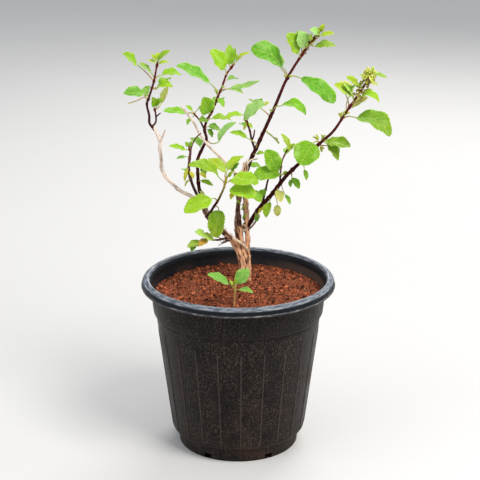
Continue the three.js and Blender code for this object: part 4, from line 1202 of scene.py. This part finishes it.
        "routes": [
            ([(7, 36, 258), (6, 26, 267), (5, 16, 274), (6, 8, 282)], (1.1, 0.8)),
            ([(6, 37, 233), (6, 37, 243), (5, 37, 252)], (0.7, 0.5)),
        ],
        "leaves": {0: [
            (281, (20, 2, 287), (-7, -16, 290), 19, 40, 0.1, "warm"),
            (278, (18, 2, 273), (-9, -13, 280), 18, 50, 0.1, "bright"),
            (277, (-3, 4, 275), (-8, -2, 268), 6, 15, 0.1, "yellow"),
            (272, (9, 14, 270), (24, 5, 263), 15, 15, 0.12, "mid"),
        ], 1: [
            (236, (4, 36, 236), (9, 32, 241), 5, 30, 0, "lime"),
            (245, (3, 36, 246), (8, 32, 250), 5, 30, 0.05, "young"),
            (250, (2, 37, 251), (-2, 34, 256), 4.5, 30, 0.05, "lime"),
        ]},
        "buds": [],
    },
    "low": {
        "node": "low_shoot",
        "routes": [
            ([(-11, 28, 217), (-20, 20, 217), (-30, 12, 220), (-38, 7, 222)], (1.3, 0.8)),
        ],
        "leaves": {0: [
            (221, (-35, 5, 227), (-45, 0, 232), 10, 35, 0.08, "fresh"),
            (219, (-26, 6, 222), (-39, 2, 228), 10, 35, 0.08, "fresh"),
            (221, (-32, 5, 221), (-43, -2, 217), 7.5, 35, 0.08, "rust"),
            (222, (-40, 4, 220), (-53, -2, 216), 9, 35, 0.1, "olive"),
            (222, (-44, 4, 218), (-49, 0, 211), 7, 20, 0.1, "deep"),
        ]},
        "buds": [],
    },
    "seedling": {
        "node": "seedling",
        "routes": [
            ([(-4, -42, 152), (-4, -42, 169), (-3, -42, 180), (-3, -42, 190)], (1.3, 0.8)),
        ],
        "leaves": {0: [
            (182, (-10, -44, 191), (-31, -50, 203), 12, 25, 0.06, "sea"),
            (187, (-1, -43, 191), (11, -38, 205), 15, 35, 0.06, "sea"),
            (181, (1, -45, 185), (15, -52, 184), 8, 15, 0.1, "sea"),
            (188, (-5, -43, 190), (-9, -44, 194), 4, 30, 0, "young"),
            (188, (-3, -43, 191), (-2, -43, 196), 4, 10, 0, "young"),
        ]},
        "buds": [],
    },
}


woodForm = {
    "voxel": 0.52, "relax": (0.5, 2), "sides": 14, "step": 1.3, "lumps": 0.08, "gnarls": 0.26,
    "nodeEvery": 15, "nodeSwell": 0.2, "nodeLength": 1.5, "fissure": 0.42, "toneSpread": 0.22,
    "ridges": (0.10, 0.75), "grit": (0.3, 1.6),  # how dense along a strand, and across it
}
barkTints = {  # each with how strongly it is cracked
    "tan": (1.0, 0.55, 0.30, 1.0), "cream": (1.0, 0.77, 0.55, 0.4), "brown": (0.17, 0.07, 0.05, 0.9),
    "pale": (0.95, 0.80, 0.70, 0.55), "gnarled": (0.13, 0.06, 0.055, 1.0),
}
barkFinish = {
    "patch": (0.95, 0.62, 0.41), "fibre": (0.42, 0.29, 0.24), "ridge": (1.0, 0.78, 0.60),
    "crack": (0.040, 0.014, 0.010), "dust": (0.40, 0.15, 0.07), "relief": 0.0006,
}
flakeForm = {"Density": 60000, "Length": 0.0042, "Lowest": 0.166, "Highest": 0.262, "Seed": 6}


def woodLumps(phase, strength):
    # slow bumps, and a ring now and then where a leaf once grew
    def ripple(along, turn, size):
        rings = np.zeros_like(along + turn)
        for k in range(1, int(along[-1, 0] / woodForm["nodeEvery"]) + 1):
            here = k * woodForm["nodeEvery"] + 3 * math.sin(3.1 * k + phase)
            swell = woodForm["nodeSwell"] * size * np.exp(-((along - here) / woodForm["nodeLength"]) ** 2)
            rings = rings + swell * (1 + 0.5 * np.cos(turn - 2.1 * k - phase))
        bumps = np.sin(0.42 * along + 2 * turn + phase) * 0.5
        bumps = bumps + np.sin(0.9 * along - 3 * turn + 2.1 * phase) * 0.5
        return rings + strength * size * bumps
    return ripple


def nearestStrand(points):
    # for each point: the strand it belongs to, how far along it is, and its turn and distance from the middle
    best = np.full(len(points), 1e9)
    which, along, offset = np.zeros(len(points), int), np.zeros(len(points)), np.zeros((len(points), 3))
    for number, (route, radii, _) in enumerate(wood.values()):
        path, run = smoothRoute(route, 0.8)
        axes = framesAlong(path)
        size = np.interp(run, (0, run[-1]), radii)
        for start in range(0, len(points), 4000):
            some = slice(start, start + 4000)
            gap = points[some, None] - path[None]
            far = np.linalg.norm(gap, axis=2) - size[None]
            pick = far.argmin(axis=1)
            depth = far[np.arange(len(pick)), pick]
            closer = np.nonzero(depth < best[some])[0]
            rows, spot = start + closer, pick[closer]
            best[rows], which[rows], along[rows] = depth[closer], number, run[spot]
            away = gap[closer, spot]
            offset[rows] = np.stack([np.einsum("ij,ij->i", away, axis[spot]) for axis in axes], 1)
    return which, along, offset


def makeBarkMaterial():
    f = barkFinish
    material, tree, shader = newMaterial("oldBark", 0.85, 0.12)
    grain, tint = attribute(tree, "grain", "Vector"), attribute(tree, "barkTint", "Color")
    fibrous = stretched(tree, grain, (0.12, 0.9, 0.9))
    fibre = noiseValue(tree, fibrous, 1.0, 6.0, 0.65)
    cracks = smoothStep(tree, noiseValue(tree, fibrous, 0.7, 5.0, 0.6), 0.415, 0.46, 1.0, 0.0)
    cracks = times(tree, cracks, attribute(tree, "barkTint", "Alpha"))
    patch = mottled(tree, grain, 0.16, 0.38, 0.66)["Mask"]
    dust = dusted(tree, objectPoint(tree), 0.45)
    colour = layered(
        tree, tint,
        (times(tree, patch, 0.35), f["patch"]),
        (smoothStep(tree, fibre, 0.34, 0.50, 0.5, 0.0), mixColour(tree, 1.0, tint, f["fibre"], "MULTIPLY")),
        # pale fibre ridges: partly the bark's own paleness, partly a painted highlight
        (times(tree, smoothStep(tree, fibre, 0.53, 0.66), 0.75), mixColour(tree, 0.5, tint, f["ridge"])),
        (times(tree, cracks, 0.95), f["crack"]),
        (times(tree, dust, 0.1), f["dust"]),
    )
    rough = smoothStep(tree, fibre, 0.2, 0.8, 0.9, 0.68)
    paint(tree, shader, colour, rough, minus(tree, fibre, times(tree, cracks, 0.7)), f["relief"])
    return material


def slimCone(tree, sides, steps, top, bottom, height):
    return addNode(tree, "GeometryNodeMeshCone", {
        "Vertices": sides, "Side Segments": steps, "Radius Top": top, "Radius Bottom": bottom,
        "Depth": height,
    }).outputs[0]


def makeFlakeTree():
    # slim flakes of loose bark and torn fibre, lying close along the surface
    tree, given, out = newTree("barkFlakes", {
        "Density": 20000.0, "Length": 0.004, "Lowest": 0.0, "Highest": 1.0, "Seed": 1})
    spot = addNode(tree, "GeometryNodeInputPosition").outputs[0]
    height = addNode(tree, "ShaderNodeSeparateXYZ", {0: spot}).outputs["Z"]
    low, high = (addNode(tree, "FunctionNodeCompare", {0: height, 1: given[limit]}, data_type="FLOAT",
                         operation=operation).outputs[0]
                 for limit, operation in (("Highest", "LESS_THAN"), ("Lowest", "GREATER_THAN")))
    chosen = addNode(tree, "FunctionNodeBooleanMath", {0: low, 1: high}, operation="AND").outputs[0]
    flake = slimCone(tree, 5, 2, 0.05, 0.11, 1.0)
    wild = chanceVector(tree, (-0.22, -0.22, 0), (0.22, 0.22, 6.3), given["Seed"])
    turn = turnedBy(tree, raisedTo(tree, (0.12, 0.0, 1.0)), wild)
    size = scaled(tree, chanceVector(tree, (0.4, 0.25, 0.35), (1.0, 0.6, 1.0), 5), given["Length"])
    points = spreadPoints(tree, given, Selection=chosen)["Points"]
    return endTree(tree, copiesOn(tree, points, flake, turn, size), given, out)


def mergedStrands():
    # all the strands as one closed surface
    f = woodForm
    parts = []
    for number, (route, radii, tint) in enumerate(wood.values()):
        lumps = woodLumps(1.7 * number, f["gnarls" if tint == "gnarled" else "lumps"])
        parts.append(tube(route, radii, f["step"], f["sides"], lumps))
    rough = newPiece("woodRough", joined(parts), [])
    merge = rough.modifiers.new("merge", "REMESH")
    merge.mode, merge.voxel_size, merge.use_smooth_shade = "VOXEL", f["voxel"] * mm, True
    relax = rough.modifiers.new("relax", "SMOOTH")
    relax.factor, relax.iterations = f["relax"]
    mesh = bakedMesh(rough)
    bpy.data.objects.remove(rough)
    return mesh


def carveBark(mesh):
    # long ridges and fissures with finer ones over them, and each point's own grain and tint
    f = woodForm
    count = len(mesh.vertices)
    points, normals = np.zeros(count * 3), np.zeros(count * 3)
    mesh.vertices.foreach_get("co", points)
    mesh.vertex_normals.foreach_get("vector", normals)
    points, normals = points.reshape(-1, 3) / mm, normals.reshape(-1, 3)
    which, along, offset = nearestStrand(points)

    def barkNoise(dense, across):
        spots = zip(along * dense + 31 * which, offset[:, 1] * across, offset[:, 2] * across)
        return np.array([noise.noise(Vector(spot)) for spot in spots])

    ridge = 1 - np.abs(barkNoise(*f["ridges"])) * 2.6
    push = 0.62 * (ridge - 0.55) + 0.38 * barkNoise(*f["grit"])
    radius = np.hypot(offset[:, 1], offset[:, 2])
    points = points + normals * (push * f["fissure"] * np.clip(radius / 3.2, 0.25, 1.1))[:, None]
    mesh.vertices.foreach_set("co", (points * mm).ravel())
    tints = np.array([barkTints[tint] for _, _, tint in wood.values()])[which]
    tones = [noise.noise(Vector(spot)) for spot in points * (0.12, 0.12, 0.05)]
    tones = 1 + f["toneSpread"] * np.array(tones)[:, None]
    addValues(mesh, {"grain": np.column_stack([along + 40 * which, offset[:, 1:]]),
                     "barkTint": np.column_stack([tints[:, :3] * tones, tints[:, 3]])})


def makeOldWood():
    bark = makeBarkMaterial()
    mesh = mergedStrands()
    carveBark(mesh)
    mesh.materials.clear()
    mesh.materials.append(bark)
    mesh.name = "oldWood"
    smoothFaces(mesh)
    trunk = newObject("oldWood", mesh)
    flakes = grown("looseBark", trunk, makeFlakeTree(), {**flakeForm, "Material": bark})
    finished(trunk, "bark", "trunk")
    finished(flakes, "bark")


stemForm = {"step": 0.8, "sides": 16, "square": 0.07, "node": 0.24, "streak": 0.035}
hairForm = {"Density": 380000, "Length": 0.0008, "Thickness": 0.000025, "Seed": 12}
stemTints = {  # at the root, at the tip, and how patchy it is
    "youngStem": ((0.038, 0.003, 0.003), (0.125, 0.012, 0.010), 0.10),
    "freshStem": ((0.05, 0.012, 0.010), (0.50, 0.40, 0.04), 0.12),
    "knottyStem": ((0.050, 0.022, 0.020), (0.14, 0.05, 0.03), 0.35),
    "seedlingStem": ((0.80, 0.42, 0.19), (0.62, 0.50, 0.14), 0.2),
}
stemStuff = {"gnarled": "knottyStem", "low": "knottyStem", "seedling": "seedlingStem", "centre": "freshStem"}
stemFinish = {"patch": (0.26, 0.12, 0.09), "streak": (0.16, 0.055, 0.05), "hairDark": (0.42, 0.26, 0.24),
              "hairPale": (0.74, 0.66, 0.58), "relief": 0.0003}


def stemSkin(route, heights):
    # slightly square, fluted, and thicker at each node
    f = stemForm
    path, run = smoothRoute(route, 0.5)
    spots = [run[np.linalg.norm(path - nodeOf(route, h), axis=1).argmin()] for h in heights]

    def ripple(along, turn, size):
        square = f["square"] * np.cos(4 * turn + 0.01 * along)
        made = size * (square + f["streak"] * np.cos(9 * turn + 0.05 * along))
        for spot in spots:
            made = made + f["node"] * size * np.exp(-((along - spot) / 1.4) ** 2)
        return made
    return ripple


def makeStemMaterial(name, root, tip, patchy):
    material, tree, shader = newMaterial(name, 0.6, 0.05)
    grain, share = attribute(tree, "grain", "Vector"), attribute(tree, "share")
    streak = noiseValue(tree, stretched(tree, grain, (0.15, 1.0, 1.0)), 1.3, 4.0, 0.6)
    patch = mottled(tree, grain, 0.3, 0.4, 0.68)["Mask"]
    colour = layered(
        tree, root,
        (smoothStep(tree, share, 0.35, 1.0), tip),
        (times(tree, patch, patchy), stemFinish["patch"]),
        (smoothStep(tree, streak, 0.52, 0.75, 0.0, 0.35), stemFinish["streak"]),
    )
    paint(tree, shader, colour, smoothStep(tree, streak, 0.25, 0.75, 0.38, 0.6), streak, stemFinish["relief"])
    return material


def makeHairMaterial():
    material, tree, shader = newMaterial("fineHair", 0.5, 0.4)
    pale = smoothStep(tree, noiseValue(tree, objectPoint(tree), 400.0, 2.0), 0.3, 0.7)
    paint(tree, shader, mixColour(tree, pale, stemFinish["hairDark"], stemFinish["hairPale"]))
    return material


def makeHairTree():
    tree, given, out = newTree("stemHairs", {
        "Density": 500000.0, "Length": 0.001, "Thickness": 0.00003, "Seed": 1})
    spread = spreadPoints(tree, given)
    hair = slimCone(tree, 3, 1, 0.0, given["Thickness"], given["Length"])
    wild = chanceVector(tree, (-0.5, -0.5, 0), (0.5, 0.5, 6.3), given["Seed"])
    turn = turnedBy(tree, spread["Rotation"], wild)
    size = chanceNumber(tree, 0.45, 1.0, 8)
    return endTree(tree, copiesOn(tree, spread["Points"], hair, turn, size), given, out)


def leafPieces(name, plan):
    parts = []
    for which, rows in plan["leaves"].items():
        for row in rows:
            parts += leaf(plan["routes"][which][0], row)
    for height, point, *which in plan["buds"]:
        parts += bud(plan["routes"][which[0] if which else 0][0], height, point)
    return newPiece(name + "Leaves", joined(parts), leafStuff)


def makeLeafyStems():
    stuff = {name: makeStemMaterial(name, *tints) for name, tints in stemTints.items()}
    hairTree, hairStuff = makeHairTree(), makeHairMaterial()
    for name, plan in leafyStems.items():
        tubes, bare = [], []
        for which, (route, radii, *kind) in enumerate(plan["routes"]):
            heights = [row[0] for row in plan["leaves"].get(which, [])]
            skin = tube(route, radii, stemForm["step"], stemForm["sides"], stemSkin(route, heights))
            (bare if kind else tubes).append(skin)
        if bare:
            bareStalk = newPiece(name + "BareStalk", joined(bare), [stuff["seedlingStem"]])
            finished(bareStalk, "stem", plan["node"])
        stem = newPiece(name + "Stem", joined(tubes), [stuff[stemStuff.get(name, "youngStem")]])
        hairs = grown(name + "Hairs", stem, hairTree, {**hairForm, "Material": hairStuff})
        finished(stem, "stem", plan["node"])
        finished(hairs, "stem")
        finished(leafPieces(name, plan), "leaf", plan["node"])


spikeForm = {  # each on its stem, from a low to a high place, with its cups' fresh and dull colours
    "crown": {
        "stem": "right", "low": 396, "high": 405, "tints": ((0.86, 0.84, 0.26), (0.52, 0.62, 0.07)),
        "Whorls": 5, "Per Whorl": 9, "Ring": 0.0026, "Size": 0.0043, "Rise": 0.35, "Taper": 0.8,
    },
    "lower": {
        "stem": "right", "low": 379, "high": 394.5, "tints": ((0.66, 0.66, 0.10), (0.14, 0.05, 0.025)),
        "Whorls": 5, "Per Whorl": 8, "Ring": 0.0020, "Size": 0.0033, "Rise": 0.3, "Taper": 1.0,
    },
    "tall": {
        "stem": "tall", "low": 411, "high": 436, "tints": ((0.30, 0.16, 0.035), (0.075, 0.020, 0.014)),
        "Whorls": 6, "Per Whorl": 4, "Ring": 0.0011, "Size": 0.0020, "Rise": 0.7, "Taper": 0.9,
    },
}


def calyxShape():
    # a small two-lipped cup of one millimetre, standing on its stalk along +X
    profile = roundedProfile([(0, 0, 0), (0.22, 0, 0), (0.25, 0.9, 0), (0.75, 1.3, 0.4), (1.0, 2.1, 0.4),
                              (1.18, 2.6, 0.2), (0.95, 2.55, 0.1), (0.6, 1.6, 0.2), (0, 1.3, 0)])
    shape = lathe(profile, 9)
    x, y, z = shape["points"].T
    lipped = y * (1 + 0.22 * (z > 2.2) * (y > 0))
    shape["points"] = np.column_stack([z, x * (1 + 0.1 * np.sign(y)), lipped]) / 2.6
    return shape


def makeWhorlTree():
    # rings of cups up a short axis, smaller and closer towards its tip
    tree, given, out = newTree("flowerWhorls", {
        "Whorls": 6, "Per Whorl": 6, "Ring": 0.0015, "Size": 0.0026, "Rise": 0.5, "Taper": 0.5,
        "Shape": "Object"})
    ring = addNode(tree, "GeometryNodePoints", {"Count": given["Per Whorl"]}).outputs[0]
    index, turn = evenTurns(tree, given["Per Whorl"])
    turn = plus(tree, turn, chanceNumber(tree, -0.45, 0.45, 3))
    spot = combined(tree, X=times(tree, mathNode(tree, "COSINE", turn), given["Ring"]),
                    Y=times(tree, mathNode(tree, "SINE", turn), given["Ring"]))
    ring = addNode(tree, "GeometryNodeSetPosition", {"Geometry": ring, "Position": spot}).outputs[0]
    lean = combined(tree, Y=minus(tree, chanceNumber(tree, -0.5, 0.4, 14), given["Rise"]), Z=turn)
    shape = addNode(tree, "GeometryNodeObjectInfo", {"Object": given["Shape"]}).outputs["Geometry"]
    size = times(tree, chanceNumber(tree, 0.65, 1.25, 21), given["Size"])
    whorl = copiesOn(tree, ring, shape, lean, size)
    axis = addNode(tree, "GeometryNodeMeshToCurve", {"Mesh": given["Geometry"]}).outputs[0]
    steps = addNode(tree, "GeometryNodeResampleCurve", {"Curve": axis, "Count": given["Whorls"]}).outputs[0]
    tangent = addNode(tree, "GeometryNodeInputTangent").outputs[0]
    upright = turnedBy(tree, raisedTo(tree, tangent), combined(tree, Z=times(tree, index, 0.9)))
    share = addNode(tree, "GeometryNodeSplineParameter").outputs["Factor"]
    taper = smoothStep(tree, share, 0.0, 1.0, 1.0, given["Taper"])
    return endTree(tree, copiesOn(tree, steps, whorl, upright, taper), given, out)


def makeCupMaterial(name, fresh, dull):
    material, tree, shader = newMaterial(name, 0.5, 0.3)
    patch = mottled(tree, objectPoint(tree), 420.0, 0.42, 0.6)
    paint(tree, shader, mixColour(tree, patch["Mask"], fresh, dull), None, patch["Height"], 0.0003)
    letLightIn(shader, 0.2, 0.001)
    return material


def makeSpikes():
    whorlTree = makeWhorlTree()
    for name, f in spikeForm.items():
        material = makeCupMaterial(name + "Cup", *f["tints"])
        path, _ = smoothRoute(leafyStems[f["stem"]]["routes"][0][0], 0.6)
        path = path[(path[:, 2] > f["low"]) & (path[:, 2] < f["high"])]
        rest = (f["high"] - path[-1][2]) / (path[-1][2] - path[-2][2])
        path = np.vstack([path, path[-1] + (path[-1] - path[-2]) * rest])
        mesh = bpy.data.meshes.new("spikeAxis")
        mesh.from_pydata((path * mm).tolist(), [(k, k + 1) for k in range(len(path) - 1)], [])
        axis = newObject("spikeAxis", mesh)
        cup = newPiece("cupShape", calyxShape(), [material])
        cup.data.transform(Matrix.Scale(1 / mm, 4))
        cups = grown(name + "Cups", axis, whorlTree, {**f, "Shape": cup, "Material": material})
        for helper in (axis, cup):
            bpy.data.objects.remove(helper)
        finished(cups, "bract")


floorForm = {"half": 9000, "dark": (0.72, 0.71, 0.70), "light": (0.76, 0.755, 0.745)}
worldForm = {"colour": (0.93, 0.96, 1.0, 1), "strength": 0.55, "lightsAim": (0, 0, 0.25)}
lightForm = {  # place, size, power and colour
    "keyLight": ((0.9, -0.9, 1.7), 0.9, 30, (1.0, 0.97, 0.92)),
    "fillLight": ((-1.6, -0.9, 1.0), 1.6, 8, (0.95, 0.97, 1.0)),
    "backLight": ((0.5, 1.5, 1.5), 1.2, 20, (1.0, 0.98, 0.95)),
}
cameraForm = {
    "aim": (0.00184, 0, 0.2234), "distance": 1.4903, "elevation": 18.24, "lens": 107.5, "sensor": 36,
    "near": 0.05, "far": 40,
}


def makeFloor():
    material, tree, shader = newMaterial("paleFloor", 0.8, 0.25)
    cloud = noiseValue(tree, objectPoint(tree), 3.0, 3.0)
    paint(tree, shader, mixColour(tree, cloud, floorForm["dark"], floorForm["light"]))
    half = floorForm["half"]
    corners = [(-half, -half, 0), (half, -half, 0), (half, half, 0), (-half, half, 0)]
    newPiece("floor", {"points": corners, "faces": [[0, 1, 2, 3]]}, [material])


def makeLights():
    world = bpy.data.worlds.new("studio")
    world.use_nodes = True
    background = world.node_tree.nodes["Background"]
    background.inputs["Color"].default_value = worldForm["colour"]
    background.inputs["Strength"].default_value = worldForm["strength"]
    bpy.context.scene.world = world
    for name, (place, size, power, colour) in lightForm.items():
        data = bpy.data.lights.new(name, "AREA")
        data.size, data.energy, data.color = size, power, colour
        light = newObject(name, data)
        light.location = place
        aim = Vector(worldForm["lightsAim"]) - light.location
        light.rotation_euler = aim.to_track_quat("-Z", "Y").to_euler()


def makeCamera():
    f = cameraForm
    lift = math.radians(f["elevation"])
    back = Vector((0, -math.cos(lift), math.sin(lift)))
    data = bpy.data.cameras.new("camera")
    data.lens, data.sensor_width, data.clip_start, data.clip_end = f["lens"], f["sensor"], f["near"], f["far"]
    camera = newObject("camera", data)
    camera.location = Vector(f["aim"]) + back * f["distance"]
    camera.rotation_euler = (-back).to_track_quat("-Z", "Y").to_euler()
    bpy.context.scene.camera = camera


makeCamera()
makeLights()
makeFloor()
bpy.context.scene.view_settings.view_transform = "Standard"
print("camera, lights and floor are in place")
makePot()
makeSoil()
makeOldWood()
makeLeafyStems()
makeSpikes()
